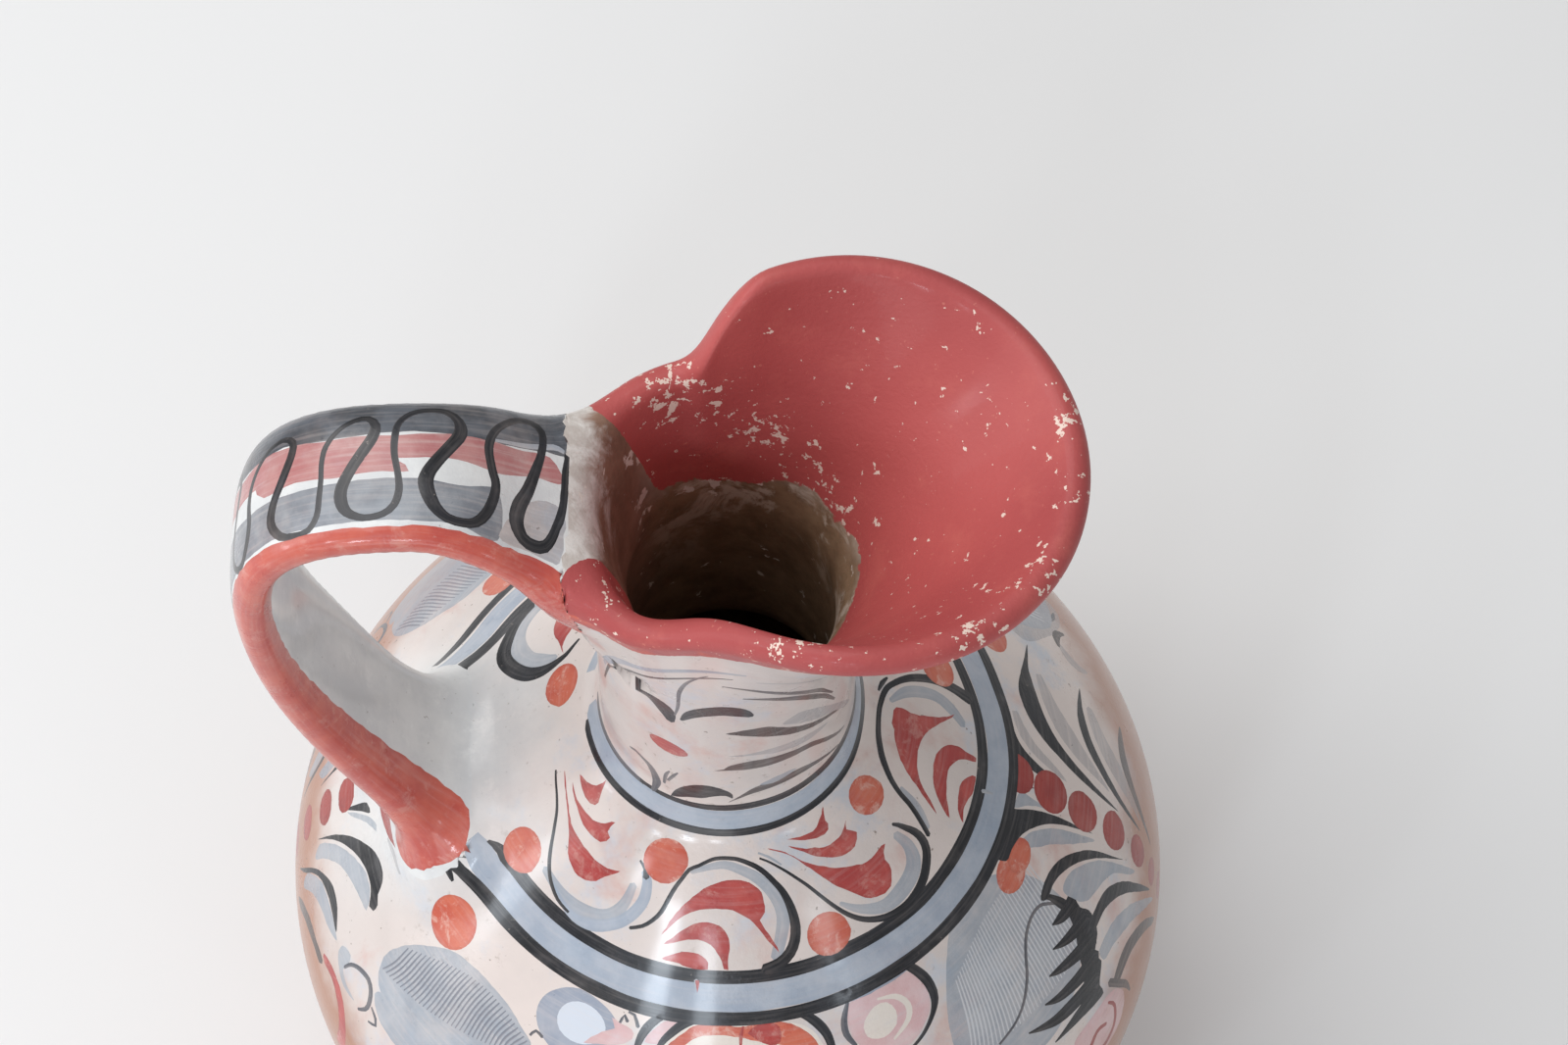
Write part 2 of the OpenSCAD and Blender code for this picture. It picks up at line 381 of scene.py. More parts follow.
class Drawing:
    """Shapes on one chart, lowest first."""

    def __init__(self, chart, scale, seed):
        self.chart = chart
        self.scale = scale
        self.rng = random.Random(seed)
        self.shapes = []
        self.lengthwise = False

    def local(self, points):
        """Chart rows as flat millimetres about the drawing's own middle."""
        flat = self.chart(points)
        size = float(np.mean(self.scale(flat[:, 1])))
        return flat * size, size

    def stroke(self, ink, points, widths, step=1.2, rough=0.07):
        flat, size = self.local(points)
        spots = np.linspace(0, len(points) - 1, len(widths))
        w = np.interp(range(len(points)), spots, widths)
        line = smooth(np.column_stack([flat, w]), step)
        mid, half = line[:, :2], np.maximum(0.12, line[:, 2] / 2)
        d = np.gradient(mid, axis=0)
        d /= np.maximum(1e-9, np.linalg.norm(d, axis=1, keepdims=True))
        side = np.column_stack([-d[:, 1], d[:, 0]])
        left = mid + side * (half * (1 + wander(self.rng, len(mid), rough)))[:, None]
        right = mid - side * (half * (1 + wander(self.rng, len(mid), rough)))[:, None]
        start = [mid[0] - d[0] * half[0] * 0.7] if half[0] > 0.3 else []
        stop = [mid[-1] + d[-1] * half[-1] * 0.7] if half[-1] > 0.3 else []
        ring = np.array([*start, *left, *stop, *right[::-1]])
        core = mid if half.max() > 0.45 else mid[:0]
        self.add(ink, ring / size, mid / size, core / size)

    def field(self, ink, points, step=1.3, rough=0.1):
        flat, size = self.local(points)
        ring = smooth(flat, step, closed=True)
        ring = ring + np.array([[self.rng.uniform(-rough, rough) for _ in "xy"] for _ in ring])
        self.add(ink, ring / size, None, None)

    def dot(self, ink, angle, rise, wide, tall=None, tilt=0.0):
        tall = tall or wide
        flat, size = self.local([[angle, rise]])
        count = max(10, int(4.2 * (wide + tall) / 2))
        bend = wander(self.rng, count, 0.05)
        ring = []
        for k in range(count):
            turn = 2 * math.pi * k / count
            x = wide * (1 + bend[k]) * math.cos(turn)
            y = tall * (1 + bend[k]) * math.sin(turn)
            c, s = math.cos(math.radians(tilt)), math.sin(math.radians(tilt))
            ring.append(flat[0] + [x * c - y * s, x * s + y * c])
        self.add(ink, np.array(ring) / size, None, None)

    def band(self, ink, knots, step=1.8):
        """A band round the pot between the seam and another place, or from seam to seam."""
        first, last = math.degrees(SEAM) - 360, math.degrees(SEAM)
        knot = np.asarray(knots, float)
        size = float(np.mean(self.scale(self.chart(knot[:, :2])[:, 1])))
        start, stop = knot[0, 0], knot[-1, 0]
        count = max(4, int(math.radians(stop - start) * size / step))
        angles = np.linspace(start, stop, count + 1)
        rise = np.interp(angles, knot[:, 0], knot[:, 1])
        wide = np.interp(angles, knot[:, 0], knot[:, 2])
        blend = np.ones(7) / 7
        rise[3:-3] = np.convolve(rise, blend, "valid")
        calm = np.minimum(1, np.minimum(angles - first, last - angles) / 6)
        up = wander(self.rng, count + 1, 0.08) * calm
        down = wander(self.rng, count + 1, 0.08) * calm
        top = self.chart(np.column_stack([angles, rise + wide / 2 * (1 + up)]))
        low = self.chart(np.column_stack([angles, rise - wide / 2 * (1 + down)]))
        self.add(ink, np.concatenate([top, low[::-1]]), None, None, open_ends=len(top))
        self.shapes[-1]["cut"] = (start > first + 0.01, stop < last - 0.01)

    def add(self, ink, ring, mid, core, open_ends=0):
        shape = {"ink": ink, "ring": ring, "mid": mid, "core": core, "open": open_ends}
        shape["cut"] = (False, False)
        self.shapes.append(shape)

    def again(self, paint, turn, flip=1):
        """What a function paints, turned round the pot, and mirrored where flip is -1."""
        first = len(self.shapes)
        paint(self)
        for shape in self.shapes[first:]:
            for key in ("ring", "mid", "core"):
                if shape[key] is not None:
                    shape[key] = shape[key] * [flip, 1] + [math.radians(turn), 0]


def inside(points, ring):
    """Which points lie inside a closed outline, by winding."""
    x, y = points[:, 0], points[:, 1]
    near = (x >= ring[:, 0].min()) & (x <= ring[:, 0].max())
    near &= (y >= ring[:, 1].min()) & (y <= ring[:, 1].max())
    found = np.zeros(len(points), bool)
    spots = np.nonzero(near)[0]
    x, y = x[spots], y[spots]
    wind = np.zeros(len(spots), int)
    for (x0, y0), (x1, y1) in zip(ring, np.roll(ring, -1, axis=0)):
        side = (x1 - x0) * (y - y0) - (x - x0) * (y1 - y0)
        wind += (y0 <= y) & (y1 > y) & (side > 0)
        wind -= (y0 > y) & (y1 <= y) & (side < 0)
    found[spots] = wind != 0
    return found


def nearest(points, line, closed):
    """Distance from each point to a line of points, and how far along it that is."""
    a = line
    b = np.roll(line, -1, axis=0) if closed else line[1:]
    a = a if closed else line[:-1]
    d = b - a
    long = np.maximum(1e-12, (d**2).sum(1))
    rel = points[:, None, :] - a[None]
    t = np.clip((rel * d).sum(2) / long, 0, 1)
    gap = np.linalg.norm(rel - t[..., None] * d, axis=2)
    best = gap.argmin(1)
    rows = np.arange(len(points))
    run = np.concatenate([[0], np.cumsum(np.sqrt(long))])[:-1]
    side = d[best, 0] * rel[rows, best, 1] - d[best, 1] * rel[rows, best, 0]
    return gap[rows, best], run[best] + t[rows, best] * np.sqrt(long[best]), np.sign(side)


def frame_points(x0, x1, y0, y1, columns, rows):
    """Points round the edge of the flat sheet, the same on both sides of the seam."""
    xs = np.linspace(x0, x1, columns + 1)
    low = [(x, y0) for x in xs]
    right = [(x1, y) for y in rows]
    top = [(x, y1) for x in xs[::-1]]
    left = [(x0, y) for y in rows[::-1]]
    return low + right + top + left


def fill_points(rng, x0, x1, y0, y1, gap, scale):
    """Loose rows of points that fill the flat sheet evenly on the real surface."""
    points = []
    y, row = y0, 0
    while True:
        size = float(scale(np.array([y]))[0])
        y += gap * 0.87 / size
        if y > y1 - 0.5 * gap / size:
            return np.array(points)
        count = max(8, int(round((x1 - x0) * size / gap)))
        for k in range(count):
            shift = (k + 0.5 + 0.25 * (1 if row % 2 else -1)) / count
            wobble = 0.12 * gap / size
            points.append((
                x0 + (x1 - x0) * shift + rng.uniform(-wobble, wobble),
                y + rng.uniform(-wobble, wobble),
            ))
        row += 1


def crowded(points, others, gap, scale):
    """Which points stand closer than a gap to others."""
    tree = KDTree(len(others))
    for i, p in enumerate(others):
        tree.insert((p[0], p[1], 0), i)
    tree.balance()
    sizes = scale(points[:, 1])
    return np.array([tree.find((p[0], p[1], 0))[2] * s < gap for p, s in zip(points, sizes)])


def inked_sheet(drawing, x0, x1, y0, y1, columns, gap, seed):
    """Cuts the flat sheet into triangles along every outline and says which ink each one has."""
    scale = drawing.scale
    rng = random.Random(seed)
    rows = []
    y = y0
    while y < y1:
        y += gap / float(scale(np.array([y]))[0])
        if y < y1 - 0.4 * gap / float(scale(np.array([y]))[0]):
            rows.append(y)
    ends = []
    for shape in drawing.shapes:
        if shape["open"]:
            n = shape["open"]
            ends += [shape["ring"][k][1] for k in (0, n - 1, n, 2 * n - 1)]
    rows = [y for y in rows if all(abs(y - e) > 0.004 for e in ends)]
    points = frame_points(x0, x1, y0, y1, columns, np.array(rows))
    edges = [(i, (i + 1) % len(points)) for i in range(len(points))]
    outlines = []
    for shape in drawing.shapes:
        ring = shape["ring"]
        base = len(points)
        n = shape["open"]
        if n and ring[0][1] > y1:
            ring = ring[n:]
        points += [tuple(p) for p in ring]
        outlines += [tuple(p) for p in ring]
        if n:
            pairs = [(i, i + 1) for i in range(len(ring) - 1) if i != n - 1 or shape["cut"][1]]
            if shape["cut"][0]:
                pairs.append((len(ring) - 1, 0))
            edges += [(base + i, base + j) for i, j in pairs]
        else:
            edges += [(base + i, base + (i + 1) % len(ring)) for i in range(len(ring))]
        if shape["core"] is not None and len(shape["core"]) > 1:
            points += [tuple(p) for p in shape["core"]]
            outlines += [tuple(p) for p in shape["core"]]
    fill = fill_points(rng, x0, x1, y0, y1, gap, scale)
    fill = fill[~crowded(fill, outlines, gap * 0.38, scale)] if outlines else fill
    fine = []
    for shape in drawing.shapes:
        ring = shape["ring"]
        if shape["mid"] is None and not shape["open"]:
            size = float(scale(np.array([ring[:, 1].mean()]))[0])
            step = 1.7 / size
            xs = np.arange(ring[:, 0].min(), ring[:, 0].max(), step)
            ys = np.arange(ring[:, 1].min(), ring[:, 1].max(), step)
            if len(xs) and len(ys):
                grid = np.array([(x + (j % 2) * step / 2, y) for j, y in enumerate(ys) for x in xs])
                fine += [tuple(p) for p in grid[inside(grid, ring)]]
    if fine:
        fine = np.array(fine)
        fine = fine[~crowded(fine, outlines, 0.7, scale)]
        fill = np.concatenate([fill[~crowded(fill, fine, 1.2, scale)], fine])
    points += [tuple(p) for p in fill]
    made = delaunay_2d_cdt([Vector(p) for p in points], edges, [], 0, 1e-5, False)
    verts = np.array([tuple(v) for v in made[0]])
    faces = np.array([f for f in made[2] if len(f) == 3])
    middle = verts[faces].mean(1)
    ink = np.zeros(len(faces), int)
    sizes = scale(verts[:, 1])
    flat = np.column_stack([verts[:, 0] * sizes, verts[:, 1] * sizes, 0 * sizes])
    brush = flat[faces]
    for number, shape in enumerate(drawing.shapes):
        ring = shape["ring"]
        hit = np.nonzero(inside(middle, ring))[0]
        if not len(hit):
            continue
        ink[hit] = number + 1
        size = float(scale(np.array([ring[:, 1].mean()]))[0])
        corners = verts[faces[hit]].reshape(-1, 2) * size
        if shape["open"]:
            n = shape["open"]
            top = np.interp(corners[:, 0], ring[:n, 0] * size, ring[:n, 1] * size)
            low = np.interp(corners[:, 0], ring[n:, 0][::-1] * size, ring[n:, 1][::-1] * size)
            depth = np.minimum(top - corners[:, 1], corners[:, 1] - low)
            run, side = corners[:, 0], corners[:, 1] - (top + low) / 2
        else:
            depth = nearest(corners, ring * size, True)[0]
            if shape["mid"] is not None:
                off, run, sign = nearest(corners, shape["mid"] * size, False)
                side = off * sign
            elif drawing.lengthwise:
                run, side = corners[:, 1], corners[:, 0]
            else:
                run, side = corners[:, 0], corners[:, 1]
        brush[hit] = np.stack([run, side, np.maximum(0, depth)], -1).reshape(-1, 3, 3)
    return verts, faces, ink, brush


# What is painted, in order from the lowest layer. Each row of points is an angle in degrees
# from the lip, and millimetres up the outline from the widest part


def paint_rings(d):
    """Two rings of black, blue and black, which stop short of the foot of the handle."""
    d.band("band", [(-296, 82.7, 7), (-240, 82.5, 7), (-222, 81.3, 7), (-205, 78, 7),
        (-195.5, 75.8, 5.6)])
    d.band("band", [(-159, 82, 4.6), (-155, 82.7, 7), (-60, 82.7, 7), (-30, 81.3, 7), (0, 81.5, 7),
        (18, 84, 7), (64, 82.7, 7)])
    d.band("black", [(-296, 88, 3.2), (-240, 88, 3.2), (-222, 87.6, 3.8), (-215, 86.3, 4.2),
        (-210, 85, 4), (-205, 83.5, 3.8), (-200, 82, 3.6), (-194, 80.2, 3)])
    d.band("black", [(-296, 78, 3.2), (-240, 77, 3.2), (-222, 75.4, 3), (-215, 74.3, 3),
        (-205, 72.2, 2.8), (-198, 70.7, 2.2)])
    d.band("black", [(-156, 85.8, 0.8), (-153.5, 87.3, 2.4), (-150, 88, 3.4), (-130, 88, 3.4),
        (-105, 87.5, 3.2), (-60, 87.6, 3.2), (-40, 86.5, 3.2), (-10, 86, 3.2), (0, 86.7, 3.2),
        (10, 88, 3.2), (18, 89.3, 3.2), (64, 88, 3.2)])
    d.band("black", [(-160, 75.4, 0.8), (-157, 76.2, 2.2), (-154, 77.1, 3.2), (-145, 78, 3.4),
        (-130, 78, 3.4), (-55, 77.5, 3.2), (-30, 76.8, 3.2), (-15, 76.4, 3.2), (0, 76.6, 3.2),
        (10, 78, 3.2), (18, 78.7, 3.2), (64, 78, 3.2)])
    d.stroke("black", [(-158.5, 76.3), (-157, 74.6), (-154.5, 73.6)], [1.4, 1.6, 0.5])
    d.band("band", [(-296, 124, 5.6), (-220, 122.5, 5), (-194, 121, 3.4)])
    d.band("band", [(-178, 124, 3.6), (-174, 124, 5.8), (-60, 124.2, 5.8), (0, 125.5, 5.8),
        (64, 124, 5.6)])
    d.band("black", [(-296, 121, 1.8), (-230, 119.5, 1.6), (-205, 118.5, 0.8)])
    d.band("black", [(-172.5, 120.8, 0.8), (-169, 120.5, 1.8), (-160, 120.2, 1.8), (-60, 121, 1.8),
        (-30, 121.5, 1.8), (-20, 122.5, 1.8), (-10, 123.3, 1.8), (5, 123.3, 1.8), (64, 121, 1.8)])
    d.band("black", [(-296, 128, 1.9), (-230, 127, 1.6), (-200, 125.5, 0.8)])
    d.band("grey", [(-180, 127.2, 0.8), (-176, 127.2, 1.8), (-165, 127.2, 1.7), (-130, 127.4, 1.5)])
    d.band("black", [(-132, 127.4, 1.2), (-100, 128, 2), (-80, 128.6, 2.4), (-30, 128.6, 2.4),
        (0, 129.4, 2.3), (64, 128, 1.9)])


def paint_far_side(d):
    """What shows between the strap and the neck, and the plain place at the foot of the handle."""
    d.stroke("wash", [(-201, 108), (-199.5, 104), (-200.5, 98.5), (-204, 94), (-210, 91), (-218, 91.5),
        (-224, 94)], [2, 4.5, 5, 5, 4, 3, 2])
    d.stroke("black", [(-208.5, 112.3), (-205, 111.6), (-202, 110.8), (-199.5, 109.3), (-197.5, 107.5),
        (-196, 105), (-195.5, 102), (-196.2, 99), (-197.7, 95.5), (-200, 92), (-203, 89.8), (-207, 88.6),
        (-212, 88), (-217, 88.6)], [0.8, 1.6, 2.6, 3.6, 3.8, 3.6, 3.2, 2.4])
    d.field("red", [(-218, 101), (-216, 105), (-213, 107.8), (-209, 108), (-205, 108.5), (-202.5, 109.8),
        (-205, 107.8), (-207, 106), (-209, 103.5), (-212, 101.8), (-215, 101)])
    d.dot("orange", -190.5, 112.7, 5.5, 4.4)
    d.dot("orange", -221, 69.5, 5)
    d.field("deep", [(-184, 59), (-180, 62.5), (-176, 66.5), (-172, 70.8), (-168, 74.6), (-165, 76),
        (-162, 74), (-163, 70), (-165, 65), (-169, 60), (-176, 57)])


def paint_scroll_a(d):
    d.stroke("wash", [(-141, 94), (-133, 92.5), (-126, 92.8), (-121, 95), (-118.5, 99), (-118, 104)], [2,
        3.4, 3, 2])
    d.stroke("band", [(-138, 93), (-130, 90.3), (-126, 90.4), (-122.5, 91.5), (-119.5, 93.3),
        (-117, 95.5), (-114.8, 99), (-113.8, 102.5), (-114.5, 106), (-116, 108)], [0.8, 2.6, 2.8, 2.8,
        2.4])
    d.stroke("black", [(-161, 109.3), (-158, 108.3), (-154, 107), (-150, 105), (-146.5, 101.8),
        (-143.5, 98.3), (-141, 95.5), (-138, 93), (-134, 90.9), (-130, 90.2)], [0.6, 0.8, 0.9, 0.9, 0.6])
    d.stroke("black", [(-115.3, 106.8), (-116.5, 108.6), (-119, 109.8)], [1.6, 1.0, 0.5])
    d.field("red", [(-154.5, 114.5), (-151, 115), (-148.5, 115.6), (-147, 116.5), (-146, 118),
        (-145.8, 119.3), (-144.8, 117.5), (-143.2, 115.8), (-142, 114.5), (-142.2, 113.3), (-144, 112.8),
        (-147, 112.7), (-150, 113.2)])
    d.field("red", [(-154.2, 112), (-150, 111), (-145, 110.6), (-141, 110.7), (-138, 111),
        (-135.5, 112.2), (-133.8, 113.5), (-132.5, 114), (-133.2, 112.5), (-133, 111.2), (-131.3, 110.3),
        (-131.5, 109.3), (-133, 108.2), (-137, 107.8), (-141, 108.3), (-145, 109.4), (-150, 110.5)])
    d.field("red", [(-159, 111.3), (-155, 110.3), (-150, 108.7), (-144, 106.2), (-140, 105.3),
        (-135, 104.6), (-131.5, 104.1), (-127, 104.3), (-123, 105.3), (-126.5, 102.3), (-128, 100.3),
        (-130.5, 98.8), (-133, 98.5), (-136, 99.3), (-139, 101), (-142, 104), (-146, 106.4),
        (-151, 108.6)])
    d.dot("orange", -148.8, 92.5, 5.2)
    d.dot("orange", -111.2, 112.3, 5)


def paint_scroll_b(d):
    d.stroke("wash", [(-102, 111), (-96, 112.8), (-90, 113.3), (-82, 110.5), (-77, 106), (-75.5, 100),
        (-79, 91)], [1, 1.8, 2.4, 2.6, 2.8, 2])
    d.stroke("black", [(-114.8, 94.5), (-112, 96), (-110, 98), (-108.3, 100.5), (-107, 104.5),
        (-106, 107), (-104.5, 109.3), (-102.8, 111.5), (-100, 112.7), (-97, 114), (-94.5, 114.7),
        (-91, 114.9), (-87, 114.6), (-83.5, 113.6), (-80.5, 112.3), (-78, 110.5), (-76, 108.3),
        (-74.3, 106), (-73.2, 103), (-72.8, 100), (-73, 97), (-74, 94), (-75.8, 91.5), (-78.5, 89.7),
        (-82, 88.8)], [0.7, 1, 1, 1.2, 1.4, 2, 2.2])
    d.field("red", [(-107, 95.3), (-105, 100), (-103, 103), (-100.5, 105.5), (-97.5, 107.8), (-94, 109.2),
        (-90.5, 109.9), (-86.5, 109.9), (-83.5, 109.1), (-81, 107.5), (-80, 105.5), (-80.2, 102),
        (-81.8, 100.3), (-80.6, 98), (-79.3, 95.5), (-78, 92), (-80.5, 95.5), (-82.5, 98.5),
        (-84.5, 100.8), (-86.5, 102), (-89, 103), (-92, 103.4), (-95, 103.3), (-98, 102.8), (-100.5, 102),
        (-102.3, 101), (-103.8, 99.5), (-106, 96.8)])
    d.field("red", [(-105.8, 93.5), (-104, 95.5), (-102, 97.5), (-99.5, 99.3), (-97, 100), (-94.5, 100.1),
        (-92, 99.3), (-90.5, 97.5), (-89.8, 95.3), (-90.2, 91.5), (-90.3, 89.3), (-91.3, 89.5),
        (-91.8, 91.5), (-93, 93.3), (-94.5, 95), (-96.5, 95.8), (-99, 95.8), (-101.5, 95.3),
        (-103.5, 94.3)])
    d.field("red", [(-105.5, 90), (-103.5, 91.5), (-101, 92.6), (-98.5, 92.9), (-96.3, 92.3),
        (-94.8, 90.8), (-94.8, 89.2), (-99.5, 89.2), (-101.5, 89.9)])
    d.stroke("wash", [(-97.2, 86.5), (-97, 84.3)], [1, 0.5])


def paint_scroll_c(d):
    d.stroke("wash", [(-60, 98), (-56, 94.5), (-50, 91.5), (-43, 92), (-38, 94), (-36, 98), (-36.5, 102)],
        [1, 2, 3, 4, 4, 3, 2])
    d.stroke("wash", [(-79.5, 115.4), (-76, 114), (-72.5, 111.6)], [0.5, 0.6, 0.4])
    d.stroke("black", [(-79.3, 114.2), (-76, 112.8), (-72, 110.2), (-69, 107.6), (-66.5, 105),
        (-64, 101.5), (-62, 98.5), (-59.5, 95), (-56.5, 92), (-53, 89.9), (-50, 88.8), (-46, 88.2),
        (-42, 88.6), (-38.5, 89.7), (-35.5, 91.5), (-33.2, 93.5), (-32, 96), (-32, 98.5), (-33, 101),
        (-34, 103), (-35, 104.2)], [0.6, 0.8, 0.9, 1.6, 2.2, 2, 0.8])
    d.field("red", [(-68.3, 116.7), (-65, 116.2), (-61, 115.8), (-58, 115.7), (-56, 116.2), (-54.3, 117),
        (-52.3, 118), (-50, 119.3), (-51.5, 117.6), (-52.2, 116.2), (-52, 115.2), (-52.8, 114.2),
        (-55, 113.7), (-58, 113.9), (-62, 114.8), (-65.5, 115.9)])
    d.field("red", [(-68.5, 115.1), (-66, 114.3), (-63, 113), (-60, 112.3), (-57, 111.3), (-53, 111.1),
        (-50, 111.5), (-48, 112.3), (-45.8, 113.4), (-47.5, 111.5), (-45.2, 109.5), (-46.5, 108.3),
        (-48.5, 107.3), (-52, 107.2), (-55, 107.8), (-58, 109), (-61, 110.5), (-64, 112.5)])
    d.field("red", [(-76, 115.9), (-73, 115.2), (-70, 114), (-67, 111.8), (-64.5, 110), (-60, 107.5),
        (-57, 105.8), (-54, 104.6), (-51, 103.5), (-48, 102.6), (-45, 102.7), (-42, 103), (-40.5, 102.7),
        (-42.5, 101.5), (-43.4, 100), (-43.3, 98.3), (-44.5, 96), (-46.5, 94.3), (-48.5, 93.9),
        (-51, 94.5), (-53.5, 96), (-55.5, 98.3), (-58, 101), (-60.5, 103.8), (-62.5, 106.5), (-65, 109.4),
        (-67.5, 112), (-71, 114.2)])
    d.dot("orange", -65.5, 93, 5)
    d.dot("orange", -34.3, 113.8, 4.5)


def paint_scroll_d(d):
    d.stroke("wash", [(-28.5, 96), (-26, 101), (-24.5, 107)], [1, 1.6, 1])
    d.stroke("wash", [(3, 114), (7, 110), (8.5, 105), (8, 100), (5.5, 96), (2, 92.5)], [1.5, 3, 3, 3, 3,
        2])
    d.stroke("black", [(-30, 95), (-29, 97.5), (-27.8, 100.5), (-26.8, 103.5), (-26.3, 106),
        (-25.3, 108.5), (-23.8, 110.7), (-21.5, 112.8), (-19, 114.5), (-16, 115.8), (-12.5, 116.8),
        (-9, 117.3), (-5, 117.5), (-1, 117.3), (2.5, 116.6), (5.5, 115.7), (8, 114.4), (9.8, 112.5),
        (11.5, 110), (12.7, 107), (13.2, 103.5), (13.2, 100), (12.7, 97), (11.5, 93.5), (10.3, 91),
        (9.5, 89)], [1, 1.2, 2, 1.8, 1.6, 2, 2.5])
    d.stroke("black", [(6, 117.2), (9.5, 115.8), (12, 113.8)], [0.6, 1.2, 0.5])
    d.field("red", [(-24.2, 95.5), (-23, 99), (-21.5, 102.5), (-19.8, 106), (-17.5, 108.8), (-14.5, 111),
        (-11, 112.3), (-7.5, 113), (-5.5, 113.7), (-0.5, 113.4), (0.9, 112.5), (1.1, 110.8), (0.5, 108.5),
        (0.5, 106), (1.2, 103), (1.8, 100), (2.8, 97.3), (4.2, 94.8), (3, 95.8), (1, 98.5), (-1, 101),
        (-3.5, 103.3), (-6.5, 104.8), (-9.5, 105.5), (-12.5, 105.6), (-15.5, 105), (-18, 103.8),
        (-20, 102), (-21.5, 99.8), (-22.8, 97.5)])
    d.field("red", [(-22.8, 92), (-22, 94.5), (-20, 97.3), (-17.5, 99.3), (-14.5, 100.4), (-11, 100.7),
        (-8, 99.8), (-6, 98.2), (-4.8, 96.3), (-4.4, 94), (-4.9, 92), (-5.3, 88.3), (-6.3, 88.3),
        (-7, 91.5), (-8, 93.8), (-9.8, 95.3), (-12, 96.2), (-15, 96), (-18, 95), (-20.5, 93.6)])
    d.field("red", [(-21.8, 88), (-20.5, 90), (-18.5, 91.2), (-15.5, 92), (-12.8, 91.7), (-11, 90.3),
        (-9.8, 88), (-14.5, 88), (-16, 88.8), (-18, 89.2), (-20, 88.8)])
    d.stroke("wash", [(-12.3, 85.3), (-11.8, 83.5), (-11.6, 82)], [1, 0.8, 0.5])
    d.dot("orange", 17, 97, 5)


def paint_right_washes(d):
    """Thin grey slip laid beside the dark leaves."""
    d.field("wash", [(-18.5, 70.5), (-16, 70), (-13.8, 67), (-12, 63), (-10.8, 58), (-10.2, 53),
        (-9.6, 48), (-10.6, 50), (-12, 54), (-13.5, 58.5), (-15, 62.5), (-17, 66.5)])
    d.field("wash", [(-20.5, 54.5), (-18, 54.6), (-16, 52.8), (-14, 49.5), (-12.3, 45.5), (-11.2, 40.5),
        (-10.3, 35), (-9.8, 30), (-10.8, 32), (-11.8, 36.5), (-13, 40), (-15, 42.5), (-17.5, 44.5),
        (-19.5, 46.5), (-20.5, 50)])
    d.field("wash", [(-24, 36), (-21, 35.8), (-18.5, 34.5), (-16, 31.5), (-14, 28), (-12.5, 24),
        (-11, 19.5), (-10.3, 16), (-11.5, 18), (-13, 21), (-15, 24.5), (-17, 27.5), (-19.5, 30),
        (-22, 32), (-24.5, 33)])
    d.field("wash", [(-12, 75), (-10.5, 72), (-9.5, 68.5), (-9, 65), (-8.4, 70), (-8.2, 74)])
    d.field("faint", [(9, 75.3), (5, 74.6), (2.8, 73), (1, 70.5), (-0.2, 67.5), (-1.4, 63.5), (-2.3, 59),
        (-0.6, 62), (1, 65.5), (3, 69), (5.5, 71.6), (9, 73.6)])
    d.field("faint", [(18, 62.5), (14, 63.4), (10, 62.6), (6.5, 60.4), (4, 57), (2, 52.5), (0.5, 47.5),
        (-0.5, 43), (1.5, 46.5), (4, 50.5), (7, 54), (10.5, 57.3), (14, 59.5), (18, 60.8)])
    d.field("faint", [(13, 46.8), (9.5, 47), (6.2, 45.3), (3.6, 42.3), (1.2, 38), (-0.8, 32.5),
        (-2, 28.5), (0.5, 31), (3, 34.5), (6, 38.5), (9, 42), (13, 44.5)])
    d.field("faint", [(25, 60), (29, 63), (31, 56), (33, 47), (35, 39), (31, 37), (28, 42), (26, 50)])
    d.stroke("faint", [(24.5, 46.8), (22, 45.5), (20.5, 43), (20, 40)], [1.5, 3, 2.4, 1])


